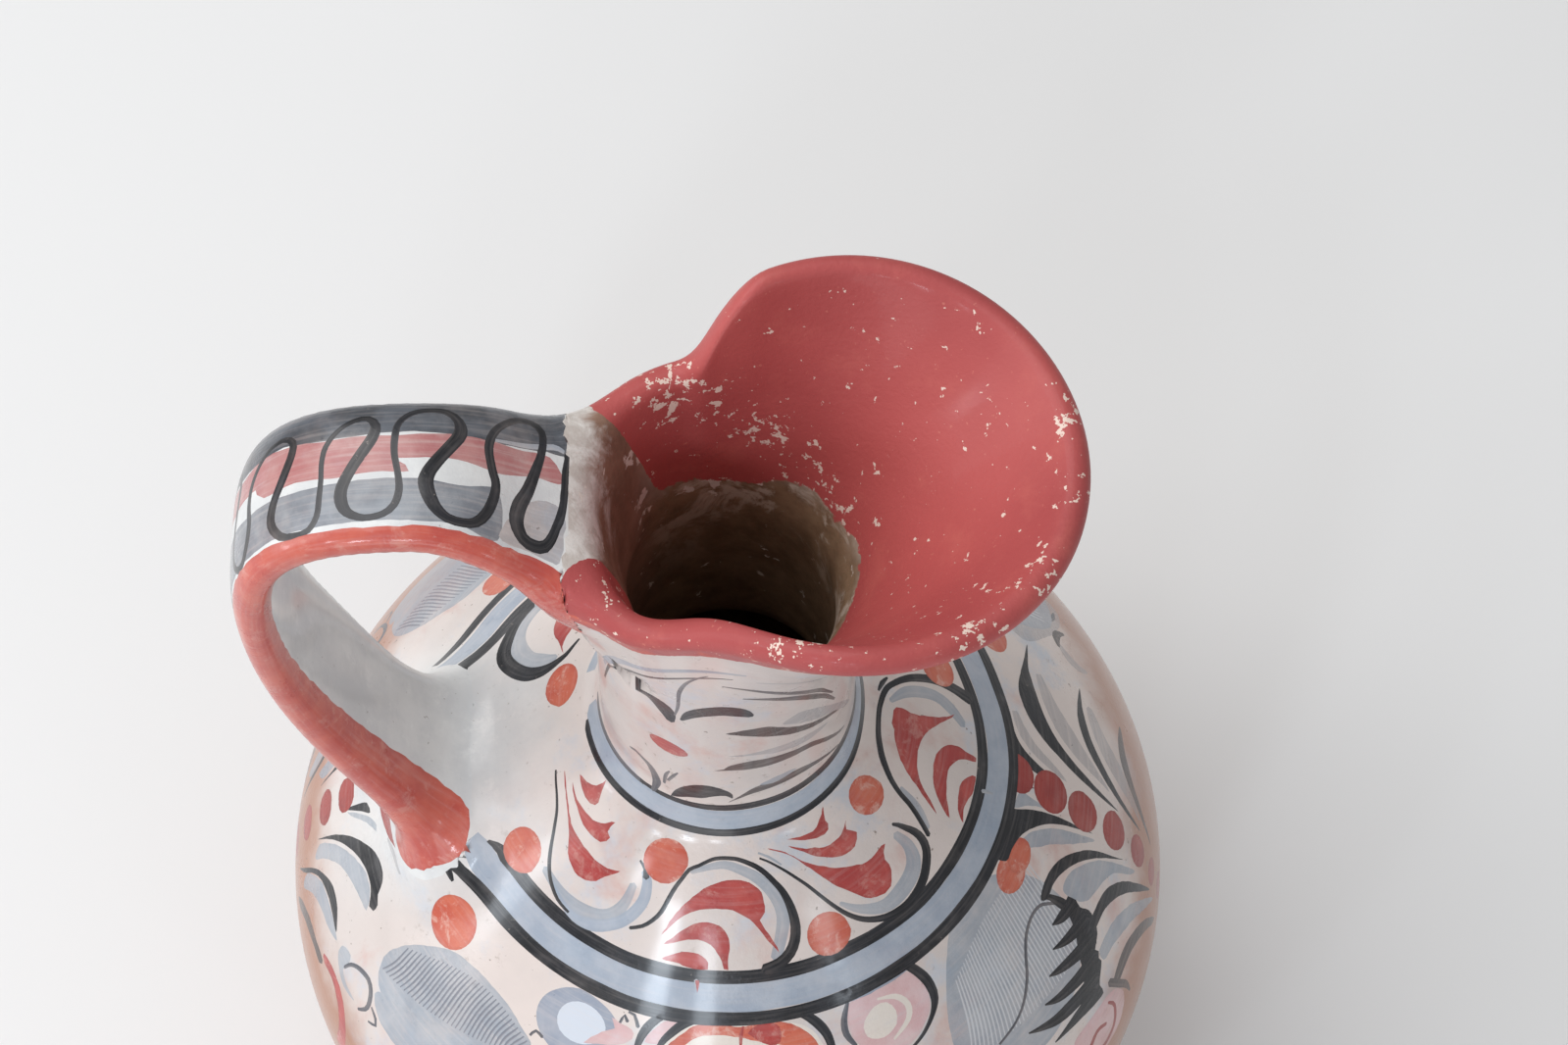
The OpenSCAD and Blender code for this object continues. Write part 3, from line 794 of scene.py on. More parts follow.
def paint_right_leaves(d):
    paint_right_washes(d)
    d.dot("orange", -24, 70.6, 5, 4.3)
    d.dot("orange", -20.2, 70, 4.4, 3.4)
    d.field("black", [(-22.8, 77.5), (-22.8, 73), (-20, 72.6), (-17, 71.6), (-14.5, 69.3), (-12.5, 66.2),
        (-11, 62.5), (-10, 58), (-9.4, 53.5), (-8.8, 49), (-9.1, 55), (-9.2, 60), (-9.6, 64.5),
        (-10.4, 69), (-11.4, 72.5), (-12.2, 75), (-12.4, 77.5)], rough=0.05)
    d.field("black", [(-12, 77.5), (-8, 75.3), (-6.8, 72.8), (-6.2, 69.5), (-6, 73), (-5.6, 77.5)],
        rough=0.04)
    d.field("black", [(-24.5, 59.5), (-23, 60.4), (-20.5, 60.5), (-18, 59.6), (-16, 58), (-14.3, 55.5),
        (-12.8, 52.5), (-11.6, 49), (-10.9, 45.5), (-10.3, 41), (-9.6, 36), (-10.6, 40.5), (-11.5, 44),
        (-12.7, 47.8), (-14.3, 51.5), (-16.5, 54.8), (-18.8, 57), (-21, 57.9), (-23.5, 57.9)], rough=0.05)
    d.field("black", [(-22, 42.8), (-18.5, 42.4), (-16, 41.1), (-14.4, 39), (-13, 36), (-12, 32.5),
        (-11.2, 28.5), (-10.4, 24), (-9.9, 19.5), (-11.4, 24.5), (-12.6, 28.8), (-13.8, 32.4),
        (-15.2, 35.5), (-17, 38), (-19, 39.6), (-22, 40.4)], rough=0.05)
    d.field("brown", [(-25.5, 25.3), (-24, 26.5), (-21.5, 27), (-19, 26), (-17, 24), (-15.2, 21.4),
        (-13.8, 18.4), (-12.6, 14.5), (-11.9, 11), (-13.2, 12.5), (-14.4, 15.4), (-15.9, 18.2),
        (-17.6, 20.6), (-19.6, 22.4), (-22, 23.2), (-24.8, 23.2)], rough=0.05)
    d.stroke("brown", [(-26, 27), (-24.8, 23), (-23.7, 19), (-23.5, 15)], [2.2, 2.2, 1.8, 0.6])
    d.field("black", [(-3.2, 77.5), (-2.2, 73.5), (-2.9, 70), (-3.3, 66.5), (-3.1, 60.5), (-2.3, 64.5),
        (-1.2, 68.3), (0, 71.3), (1.5, 73.7), (3.3, 75.2), (6.5, 76.4), (6.5, 77.8)], rough=0.04)
    d.field("black", [(24.2, 60.5), (20.6, 65), (17.8, 68.2), (15.5, 70.2), (13.2, 71.1), (10.5, 70.8),
        (8, 69.7), (5.8, 67.8), (3.8, 65.2), (2.2, 62), (0.7, 58.5), (-0.6, 54.5), (-1.6, 50), (-2.4, 45),
        (-2.9, 39.5), (-1.5, 46), (-0.3, 50.3), (1.2, 54.5), (3, 58.2), (5, 61.1), (7.2, 63.1),
        (9.6, 64.3), (12.5, 65), (16, 65), (19.5, 64.2)], rough=0.05)
    d.field("black", [(16.5, 46.8), (14, 49.6), (12, 51.1), (10, 51.8), (7.5, 51.4), (5, 49.9), (3, 47.7),
        (1, 44.6), (-0.5, 41.4), (-1.8, 37.6), (-2.8, 33.4), (-3.4, 28.5), (-1.7, 34.8), (-0.2, 38.9),
        (1.7, 42.3), (3.7, 45.1), (5.9, 47.2), (8, 48.4), (10.5, 48.8), (13, 48.5)], rough=0.05)
    d.field("brown", [(12, 32), (9.5, 35.2), (7, 36.2), (5, 35.9), (3, 34.4), (1, 31.9), (-1, 28.4),
        (-2.5, 25), (-3.8, 21), (-1.5, 25), (0.5, 28), (2.6, 30.5), (5, 32.2), (8, 32.8)], rough=0.05)
    d.stroke("brown", [(24.2, 47.4), (25.8, 46.6), (26.8, 44.5), (26.8, 41.5)], [1, 2.6, 2.2, 0.8])
    d.stroke("grey", [(29.4, 44), (30, 41.5), (31, 39)], [0.8, 1.6, 0.6])
    d.dot("orange", 27, 72, 5.5, 5)
    chain = [(-4.6, 74.8, 4.6, 4.7), (-5.5, 64.5, 5.2, 5.4), (-6.1, 53.3, 4.9, 5.1), (-6.3, 41, 4.8, 4.7),
             (-6.5, 29.4, 4, 3.8), (-7.2, 19.5, 3.6, 2.6), (-7.2, 11, 3.4, 2.6), (-7.2, 4, 3, 2.2)]
    for angle, rise, wide, tall in chain:
        d.dot("deep", angle, rise, wide, tall)


def comb(d, ink, first, last, count, low, high, lean, width=0.4, bulge=4):
    """Fine lines scratched side by side: each leans and waves a little."""
    for k in range(count):
        share = k / (count - 1)
        angle = mix(first, last, share)
        bottom = mix(low[0], low[1], share)
        top = mix(high[0], high[1], share) + bulge * math.sin(math.pi * share)
        rows = 6
        line = []
        for i in range(rows + 1):
            t = i / rows
            drift = lean * t + 0.3 * math.sin(4 * t + k * 0.11)
            line.append((angle + drift, mix(bottom, top, t)))
        d.stroke(ink, line, [width * 0.6, width, width, width * 0.6], step=2.0, rough=0.2)


def paint_hatched_leaf(d):
    d.field("wash", [(-52, 46), (-52, 56), (-49, 65), (-45, 72), (-40, 77), (-33, 78), (-27, 75),
        (-23, 68), (-21.5, 60), (-22, 52), (-24, 46), (-28, 40), (-34, 36), (-40, 35), (-47, 39)])
    comb(d, "scratch", -51, -25.5, 34, (47, 42), (66, 68), 5.0, 0.45)
    d.stroke("grey", [(-46, 45.5), (-42, 46.5), (-39, 48.5), (-36, 52), (-33.5, 56), (-31, 58.8),
        (-28, 60), (-25.5, 59.3), (-24, 57), (-22.3, 53)], [0.6, 0.8, 1, 0.9, 0.6])
    for k in range(9):
        angle = -46 + 2.5 * k
        d.stroke("grey", [(angle, 76), (angle + 0.5, 79), (angle + 0.4, 81.5)], [0.5, 0.6, 0.3], step=2)
    d.field("black", [(-19.2, 54.4), (-19.6, 52), (-20.3, 50), (-20.9, 47.6), (-20.3, 44.5), (-21, 41.3),
        (-22.2, 39), (-23.6, 38.2), (-25, 36.6), (-24.8, 33.8), (-26.4, 32), (-27.6, 30.2), (-27.8, 27.5),
        (-31, 29), (-33.5, 31), (-31, 33.5), (-29.5, 36), (-28.4, 38), (-27.5, 40.5), (-26.5, 43),
        (-25, 45.5), (-24, 48), (-23.2, 50.6), (-22.8, 53), (-21, 52.3)], rough=0.05)
    d.stroke("black", [(-23.8, 59.8), (-23, 57.5), (-22.6, 54), (-22.4, 52)], [1.2, 1.6, 2.6, 2.4])
    barbs = ([(-26.5, 53.5), (-24.5, 52), (-21, 50.5)], [(-29.5, 50), (-26.5, 47.5), (-21.5, 44.5)],
             [(-33, 46.8), (-30, 44.5), (-23, 40)], [(-36.5, 43), (-33, 40), (-25, 36.5)],
             [(-41.2, 41.5), (-38.5, 39), (-35, 36.5), (-27, 33)], [(-38.5, 33), (-34, 32), (-29, 30.5)])
    for barb in barbs:
        d.stroke("black", barb, [0.4, 2.6, 4.2])
    d.field("pink", [(-36, 27), (-32, 27), (-27, 25), (-25, 21), (-25, 17), (-27, 13), (-30, 12),
        (-34, 14), (-37, 20)])
    d.stroke("deep", [(-28, 23.5), (-27.3, 20), (-29, 15), (-32.5, 14.5), (-34.5, 19), (-32, 21.5),
        (-30, 19.5)], [0.8, 1.4, 1.6, 1])


def paint_pink_flower(d):
    d.field("pink", [(-67.8, 69), (-67.5, 73), (-66, 75.8), (-58, 76.2), (-53.5, 75.6), (-52, 72),
        (-51.8, 68), (-53, 64.5), (-56.5, 61), (-60, 60), (-64.5, 62), (-67, 65.5)])
    d.field("cream", [(-64.8, 70), (-62, 72.4), (-59.5, 71.8), (-58.6, 69), (-59.5, 66), (-62.5, 64.5),
        (-65.2, 66.5)])
    d.stroke("cream", [(-61, 73.6), (-57.6, 72), (-56.2, 68.8), (-57.2, 65.6), (-61, 63)], [0.5, 1.3, 1.5,
        1.3, 0.5])
    d.field("blue", [(-66, 75.9), (-65.5, 77), (-64, 79), (-62, 81), (-60, 81.8), (-57.5, 81.3),
        (-55, 79.5), (-53.5, 77.5), (-53, 75.7), (-58, 75.5)])
    d.stroke("black", [(-58, 81.6), (-54.8, 79.4), (-52.4, 76), (-51, 72), (-50.8, 69), (-51.3, 66),
        (-53, 63.2), (-56, 60.4), (-59, 58.8)], [0.6, 2.2, 2.6, 2, 0.9, 0.7])
    d.stroke("grey", [(-66.6, 76), (-68.2, 72.5), (-68.6, 69), (-67.6, 65.6)], [0.8, 1.5, 1.5, 0.8])


def paint_rosette(d):
    d.field("cream", [(-105, 60), (-103, 70), (-98, 75.5), (-92, 76.5), (-84, 76.3), (-77, 74.8),
        (-73.5, 70), (-73, 58), (-76, 46), (-82, 38), (-89, 36), (-97, 39), (-103, 48)])
    d.field("orange", [(-101.5, 70), (-99, 73.5), (-97, 75.6), (-94.5, 76.6), (-91, 76.5), (-88, 75.8),
        (-84, 76.5), (-81, 76.3), (-78, 75), (-76, 73), (-74.3, 70), (-73.3, 64), (-73.5, 56), (-76, 46),
        (-82, 38), (-89, 35.5), (-96, 38), (-101.5, 46), (-104, 56), (-103.5, 64)])
    d.field("cream", [(-98.5, 70.5), (-96, 73.2), (-93, 73.9), (-90, 73.8), (-87, 73), (-83, 71.5),
        (-79.5, 70), (-77, 66), (-76.5, 56), (-79, 47.5), (-84, 41), (-89, 39), (-94, 41.5), (-98.5, 48),
        (-101, 57), (-100.8, 65)])
    petals = 10
    for k in range(petals):
        turn = 2 * math.pi * (k + 0.5) / petals
        x, y = math.sin(turn), math.cos(turn)
        tip = (-89 + 10.4 * x, 56 + 15 * y)
        side_a = (-89 + 9.2 * math.sin(turn - 0.26), 56 + 13.4 * math.cos(turn - 0.26))
        side_b = (-89 + 9.2 * math.sin(turn + 0.26), 56 + 13.4 * math.cos(turn + 0.26))
        d.field("red", [(-89 + 4.6 * x, 56 + 6.8 * y), side_a, tip, side_b])
    d.dot("orange", -89, 56, 6)
    d.dot("cream", -89, 56, 3.4)
    d.field("red", [(-86.5, 74.3), (-84.8, 76), (-82, 76.3), (-80.5, 75), (-80.3, 72.5), (-81.5, 70.8),
        (-84, 71.8)])
    d.stroke("red", [(-87.4, 76), (-87.9, 73.5), (-88, 71)], [0.5, 0.9, 0.4])
    d.field("pink", [(-105.5, 70), (-104.5, 73), (-102.5, 75.8), (-100, 76.6), (-98.8, 75.8),
        (-100.8, 73.5), (-102.3, 70.5)])
    d.stroke("black", [(-106.8, 65), (-106.6, 69.5), (-106, 72.3), (-104.8, 75), (-103, 77),
        (-100.5, 78)], [0.8, 1.8, 2.2, 2, 1])
    d.stroke("black", [(-103.4, 66), (-102.5, 70.5), (-101, 73.3), (-99, 75.8), (-96.5, 77.3),
        (-93, 77.9)], [0.8, 1.6, 2.2, 2.2, 1])
    d.stroke("black", [(-79, 77.9), (-76, 77), (-74, 75), (-72.6, 72.4), (-71.9, 69.5), (-71.9, 65),
        (-72.8, 60)], [1, 2.2, 2.4, 1.8, 0.6])


def paint_ring_flower(d):
    d.dot("blue", -118.3, 68.3, 10.2, 8.2)
    # Centre dot: cream paint given the cool blue-white of the window's reflection there, a painted
    # highlight
    d.dot("chalk", -117.6, 69, 5.8, 4.9)
    d.field("pink", [(-112.5, 73.2), (-110.5, 72.5), (-108.3, 72), (-107.8, 70), (-110, 67.5),
        (-113.5, 66), (-116, 65), (-113.5, 69), (-111.5, 71)])
    d.stroke("grey", [(-125, 60), (-124.4, 61.8), (-123, 61.3)], [0.6, 0.8])
    d.stroke("grey", [(-110.8, 72.6), (-110.3, 74.7), (-109.5, 73.5)], [0.6, 0.9])
    d.stroke("grey", [(-109.8, 75.8), (-108.5, 75.5), (-107.3, 73)], [0.6, 0.9])


def paint_left(d):
    d.field("wash", [(-152.8, 44), (-152.3, 49), (-150.5, 54), (-148, 58), (-145.5, 61.3), (-142, 63.3),
        (-137, 64), (-131, 63), (-127, 60.5), (-124, 58), (-124, 54), (-127.5, 51), (-131, 49),
        (-135, 46), (-138, 43), (-141, 41), (-144, 38), (-148, 37), (-151, 39)])
    d.field("wash", [(-150, 36.5), (-145, 41), (-141, 44.5), (-136, 48.5), (-131, 51.5), (-127, 52.5),
        (-125, 49), (-127, 42), (-132, 36), (-140, 32), (-147, 32)])
    comb(d, "comb", -151.6, -125.5, 34, (42, 54), (52, 58), 1.0, 0.55, 7)
    d.field("wash", [(-175, 31), (-174, 36), (-172.5, 40), (-170.5, 43.5), (-168.5, 46), (-166, 48),
        (-163, 48), (-161, 46), (-160.6, 44.6), (-164, 43.6), (-167, 42), (-169.5, 39.5), (-171.3, 36),
        (-172.6, 32), (-173.6, 28)])
    d.field("black", [(-176, 30), (-175.3, 35), (-174.6, 39), (-173.5, 43), (-172, 46.8), (-170, 50.2),
        (-168, 52.6), (-166, 53.8), (-164, 53.8), (-162.5, 52.5), (-161.4, 50), (-160, 48.8),
        (-159.7, 46.8), (-160.8, 46), (-162, 47.5), (-163.5, 48.5), (-166, 48.5), (-168.5, 47),
        (-170.5, 44.8), (-172.5, 41.6), (-174, 38), (-175, 34.5)], rough=0.05)
    d.field("wash", [(-172.8, 22), (-171.3, 27), (-169.3, 30.3), (-166.5, 31.5), (-163, 31.6),
        (-160.5, 30.5), (-163, 28.5), (-166.5, 27.3), (-169.5, 24), (-171.8, 18.5)])
    d.field("black", [(-175, 16), (-174, 20.5), (-173, 25), (-171.5, 29.5), (-169.5, 33), (-167.5, 34.9),
        (-165, 35), (-163, 33.5), (-161.5, 31.3), (-164, 31.9), (-166.5, 32), (-169, 30.8),
        (-170.8, 28.6), (-172.2, 25), (-173.3, 20.5)], rough=0.05)
    d.field("brown", [(-172, 12), (-170, 16.5), (-167, 19.5), (-164, 20.3), (-160.4, 20.5), (-160.8, 18),
        (-164, 17.5), (-167.5, 15.5), (-170.5, 12)])
    d.field("wash", [(-177, 44), (-175.5, 49), (-174, 52.5), (-172, 55), (-171, 54.5), (-173.5, 51),
        (-175.3, 47)])
    d.field("black", [(-177.6, 43), (-177.5, 47), (-176.8, 51.5), (-174.8, 52.6), (-175.8, 49.5),
        (-176.8, 46)], rough=0.05)
    d.stroke("faint", [(-168, 60), (-165, 61.8), (-161.5, 61)], [1, 2.2, 1])
    d.field("wash", [(-159.2, 32), (-157, 33.8), (-156.3, 31), (-156.6, 28.6), (-154.5, 27.4),
        (-152, 27.2), (-155, 25.8), (-158.5, 28.5)])
    d.stroke("grey", [(-156.6, 29.5), (-156, 32.5), (-154.5, 34.8), (-152.3, 36), (-150.8, 34.8),
        (-149.8, 32), (-149.8, 29.5), (-150.8, 27)], [0.8, 1.4, 1.6, 0.7])
    d.stroke("grey", [(-149.2, 32), (-147.6, 31), (-147, 29.6), (-148.4, 28)], [0.6, 1.2, 0.5])
    d.field("red", [(-161, 22.5), (-158.5, 24.3), (-155.5, 24), (-153, 21.5), (-151.3, 17.5),
        (-150.3, 12.5), (-150.3, 7), (-152.3, 7), (-152.4, 13), (-153.3, 17.2), (-155, 20.3),
        (-157.5, 21.8), (-160, 21)])
    for rise, tall in ((43.3, 3.2), (34, 3), (23, 3), (12, 2.6)):
        d.dot("deep", -179.6, rise, 3.8, tall)


def paint_neck(d):
    """Arched and tapering strokes on the near side of the neck."""
    d.stroke("grey", [(-138.5, 139), (-135, 140), (-131, 139.3), (-127, 138), (-124.5, 135),
        (-123.5, 132), (-124, 129), (-124.8, 127)], [0.8, 1.6, 2.5, 1])
    d.field("black", [(-116, 128.5), (-114, 132), (-110, 135.5), (-105, 138), (-99, 139), (-94, 138.2),
        (-90, 136.5), (-88, 134.5), (-88, 132.5), (-91, 134), (-96, 133.5), (-102, 131.5), (-108, 130.5),
        (-113, 129)], rough=0.05)
    d.stroke("grey", [(-119.5, 133), (-118.5, 138), (-116.5, 141)], [0.7, 0.9, 0.4])
    d.stroke("grey", [(-117.5, 135.5), (-115, 139), (-112.5, 141.8)], [0.7, 0.9, 0.4])
    d.dot("red", -117, 153.8, 4.7, 3.0, tilt=-14)
    d.field("brown", [(-90, 130.4), (-86, 133), (-82, 135.4), (-78, 137.2), (-73, 138), (-66, 138.3),
        (-60, 138.4), (-54, 137.6), (-48, 136), (-42, 134.2), (-36, 132), (-30, 130), (-34, 130.4),
        (-40, 132), (-46, 133.4), (-52, 134.4), (-60, 134.9), (-68, 134.8), (-76, 134.4), (-81, 133.6),
        (-86, 132)], rough=0.06)
    d.field("wash", [(-76, 138), (-70, 139.6), (-63, 140), (-58, 139), (-64, 137.6), (-70, 137)])
    d.field("brown", [(-96, 147.4), (-92, 148.4), (-90, 150), (-86, 151.2), (-80, 151.8), (-74, 151.4),
        (-66, 150.6), (-58, 149.4), (-51, 148.3), (-46, 146.2), (-40, 142.8), (-34, 139.4), (-28, 136.2),
        (-24, 134.2), (-29, 135.4), (-35, 138), (-41, 141), (-46, 143.6), (-51, 145.5), (-56, 146.4),
        (-64, 146.9), (-72, 147.2), (-80, 147.5), (-88, 147.8)], rough=0.06)
    d.field("brown", [(-91, 167), (-84, 168.2), (-78, 168.3), (-73, 167.8), (-68, 165.8), (-62, 163),
        (-55, 160), (-48, 157.4), (-42, 155.2), (-37, 153.4), (-30, 150.5), (-24, 147), (-30, 149),
        (-37, 151.8), (-43, 153.8), (-50, 155.6), (-56, 157.4), (-62, 159.2), (-68, 161.2), (-74, 163),
        (-80, 164.6), (-86, 166)], rough=0.06)
    d.field("faint", [(-90, 155.3), (-78, 155.8), (-68, 155.6), (-58, 154.6), (-48, 152.6), (-40, 150.6),
        (-48, 150.2), (-56, 150.8), (-64, 152), (-70, 153), (-77, 154.4)])
    d.field("faint", [(-58, 168), (-50, 165), (-42, 160.5), (-34, 155), (-26, 149), (-20, 143),
        (-28, 147), (-36, 152.6), (-44, 156.6), (-52, 160), (-60, 163.5), (-66, 166.5)])


def paint_flare(d):
    """What is painted on the outside of the flare, up to the rim."""
    d.stroke("blue", [(-157, 166), (-150, 180), (-138, 198), (-124.5, 210), (-111, 216.5), (-97.5, 218),
        (-84, 216)], [1.5, 3.4, 3.6, 3.2, 2.6, 1])
    d.stroke("black", [(-158, 158), (-150, 173), (-138, 189), (-127.5, 199), (-111, 208.5),
        (-97.5, 211.5), (-88, 211)], [0.8, 1.5, 1.4, 1.2, 0.6])
    d.stroke("black", [(-133, 177), (-128, 180), (-123, 180), (-119, 177), (-116.5, 172.5), (-115, 168)],
        [0.8, 3, 5, 4.6, 2])
    d.stroke("black", [(-110, 171), (-106, 176.5), (-100, 180.5), (-92, 182.5), (-85, 180.5), (-80, 177)],
        [0.8, 3.4, 5, 4.6, 1.4])
    d.stroke("grey", [(-97, 213.5), (-101, 211), (-106, 205), (-109.5, 195), (-111, 182), (-113, 173)],
        [0.6, 1.1, 1.3, 1.1, 0.6])
    d.stroke("brown", [(-92, 204), (-80, 199), (-68, 191), (-56, 181), (-46, 172), (-38, 164)], [0.5, 1.4,
        2, 1.4, 0.6])
    d.stroke("brown", [(-84, 192), (-74, 188.5), (-64, 182.5), (-54, 175), (-44, 167), (-36, 159)], [0.5,
        1.6, 2.2, 1.6, 0.6])
    d.stroke("faint", [(-80, 208), (-66, 203), (-54, 194), (-44, 184), (-36, 174)], [0.6, 2, 2.4, 1])


def paint_back(d):
    """The far side follows the near one, mirrored, which no photograph shows."""
    d.again(paint_hatched_leaf, 80)
    d.again(paint_rosette, -363, -1)
    d.again(paint_ring_flower, -363, -1)
    d.again(paint_left, -360, -1)
    d.dot("orange", -245, 68, 5)


def paint_pot():
    d = Drawing(chart_outside, scale_outside, 11)
    paint_hatched_leaf(d)
    paint_left(d)
    d.dot("orange", -148.3, 67, 6.5)
    paint_ring_flower(d)
    paint_rosette(d)
    paint_pink_flower(d)
    paint_right_leaves(d)
    paint_back(d)
    paint_rings(d)
    for scroll in (paint_scroll_a, paint_scroll_b, paint_scroll_c, paint_scroll_d):
        scroll(d)
    d.again(paint_scroll_b, -54, -1)
    d.again(paint_scroll_c, -321, -1)
    paint_neck(d)
    paint_flare(d)
    paint_far_side(d)
    d.field("red", [(-97.4, 86.6), (-96.6, 86.6), (-96.5, 85), (-96.7, 83.6), (-97.1, 85)], step=0.8)
    return d


# The handle is drawn on its strap, in millimetres across it from the middle of the outer face
# toward the near side, and millimetres along it from the mouth


def meander():
    """The looped line down the middle of the strap, as rows of [across, along, width]."""
    return [(-7.5, 35.5, 0.8), (-4.5, 36.3, 1.8), (-1, 36.5, 2), (3, 37, 2), (7.5, 38.4, 2.2), (10.5,
        40.3, 2.2), (11.2, 42.6, 2.4), (10.6, 45, 2.6), (8, 46.6, 3), (4.5, 46.2, 3), (1, 44.6, 2.6),
        (-3.5, 43, 2.2), (-8, 41.6, 1.8), (-12, 41.3, 1.7), (-14, 43.2, 1.6), (-14, 46.4, 1.5), (-12,
        49.6, 1.5), (-9.5, 51.6, 1.6), (-6, 52.5, 1.7), (-1.5, 51.8, 1.7), (1.5, 51, 1.7), (4.8, 51.4,
        1.9), (8.4, 52.6, 2), (10.8, 54.4, 2), (11.5, 56.6, 1.9), (11.2, 59.4, 2), (9, 61.7, 2.3), (5,
        63.1, 2.6), (2, 63, 2.6), (-1.2, 61.6, 2.6), (-4.6, 59.6, 2.5), (-8.2, 57.7, 2.4), (-11.4, 58,
        1.9), (-13.6, 60, 1.6), (-14, 63, 1.4), (-13, 66, 1.3), (-10.4, 68.2, 1.3), (-7, 68.8, 1.4), (-3,
        68.8, 1.3), (1.8, 68, 1.3), (5.6, 67.7, 1.4), (9, 68.5, 1.5), (11, 70.6, 1.5), (11.6, 74, 1.6),
        (10.2, 77, 2), (7.4, 78.2, 2.4), (4, 78, 2.4), (0, 76.5, 2.3), (-3.4, 74.8, 2.3), (-7, 73, 2.2),
        (-10, 72.5, 1.8), (-12, 74, 1.4), (-11.6, 76.6, 1.2), (-9.4, 79.4, 1.1), (-6, 81.4, 1.1), (-2.4,
        82, 1), (2, 82, 1), (6, 82.2, 1.1), (10, 82.6, 1.2), (12.8, 84.4, 1.3), (13.2, 87.2, 1.5), (12.4,
        90, 1.8), (9, 92, 2), (4.6, 91.6, 2), (-1, 89.6, 2), (-6, 88, 1.8), (-9, 88, 1.5), (-10.5, 90,
        1.3), (-9.8, 93.2, 1.2), (-7, 96.2, 1.3), (-3, 98.4, 1.4), (1, 99, 1.5), (5, 98.6, 1.6), (9, 99.4,
        1.6), (12.4, 102, 1.5), (12.6, 105.5, 1.6), (9.5, 108, 1.8), (4.5, 107.6, 1.8), (-1, 106, 1.8),
        (-6, 104.4, 1.6), (-9.6, 105, 1.4), (-10.6, 108, 1.3), (-8.6, 111.6, 1.3), (-3, 114, 1.4), (3,
        114.6, 1.5), (9, 115.4, 1.5), (12.2, 118, 1.5), (12, 121.6, 1.6), (8, 123.6, 1.6), (2, 122.6,
        1.6), (-5, 120.6, 1.5), (-9.6, 121.4, 1.3), (-10.4, 124.8, 1.3), (-7, 128.4, 1.3), (0, 130, 1.4),
        (7, 131.4, 1.4), (11.6, 134.4, 1.4), (11, 138, 1.5), (6, 139.6, 1.5), (-1, 138, 1.4), (-7, 137.4,
        1.2), (-10, 140, 1.2), (-8, 144, 1.2), (-1, 146, 1.2), (6, 147.6, 1.3), (10.6, 151, 1.3), (9.4,
        155, 1.3), (3, 156, 1.2), (-4, 154.6, 1), (-8, 156.6, 0.6)]


def edge_row(rng, where, start, stop, step, size):
    """Points along the strap at a distance across it, wandering a little."""
    return [(where + rng.uniform(-size, size), y) for y in np.arange(start, stop, step)]


def paint_strap():
    d = Drawing(chart_strap, scale_strap, 23)
    d.lengthwise = True
    rng = random.Random(31)

    def lengthwise(ink, low, high, start, stop, size=0.5):
        one = edge_row(rng, low, start + rng.uniform(0, 3), stop, 7, size)
        two = edge_row(rng, high, start, stop, 7, size)
        d.field(ink, one + two[::-1], step=2.0, rough=0.12)

    lengthwise("slate", -19.5, -8, 34, 204)
    lengthwise("rose", -7.6, -1.6, 37, 200, 0.7)
    lengthwise("rose", -1.8, 1.6, 66, 100, 0.5)
    lengthwise("haze", 3.2, 12.6, 50, 204, 0.6)
    lengthwise("faint", 3.6, 12.2, 36, 51, 0.8)
    d.stroke("wash", [(-8, 36), (-9, 39), (-8.4, 45), (-8, 52)], [0.6, 1.2, 1, 0.6])
    path = meander()
    d.stroke("black", [(x, y) for x, y, w in path], [w for x, y, w in path])
    d.field("edge", [(13.6, 14), (13.4, 40), (13.6, 80), (13.2, 120), (13.6, 150), (13.4, 180), (13, 205),
        (12.2, 222), (12.6, 230.5), (16, 231.6), (20, 230), (24, 231), (27.5, 228), (29.5, 215),
        (29.3, 195), (28.6, 175), (27.6, 155), (26.3, 130), (25.6, 90), (25.4, 60), (25.8, 30), (25, 14)],
        step=2.0, rough=0.25)
    lengthwise("edge", -23, -19, 30, 150, 0.5)
    lengthwise("edge", -21, -19.4, 150, 188, 0.3)
    return d


def lip_edge(a):
    """Height above the floor at which the red of the mouth starts, by angle."""
    degrees = np.degrees(wrapped(a))
    rise = ease((degrees - 122) / 32) + ease((-degrees - 141) / 22)
    return 252.0 + 46 * rise + 1.5 * np.sin(3.1 * a) + 1.0 * np.sin(7.3 * a + 1)


def paint_lip(d):
    """The red that runs over the edge of the mouth and a little way down its outside."""
    angles = np.linspace(SEAM - 2 * math.pi, SEAM, COLUMNS * 2 + 1)
    rng = random.Random(5)
    wobble = wander(rng, len(angles), 0.9, reach=5) + wander(rng, len(angles), 0.35, reach=1)
    wobble[-1] = wobble[0]
    degrees = np.degrees(np.abs(wrapped(angles)))
    down = 6.5 + wobble - 3.5 * ease((degrees - 120) / 40)
    low = np.column_stack([angles, CHART_TOP + FLARE_SPAN * (1 - down / FLARE_ARC)])
    top = np.column_stack([angles, np.full(len(angles), CHART_TOP + FLARE_SPAN + 0.2)])
    d.add("lip", np.concatenate([top, low[::-1]]), None, None, open_ends=len(top))


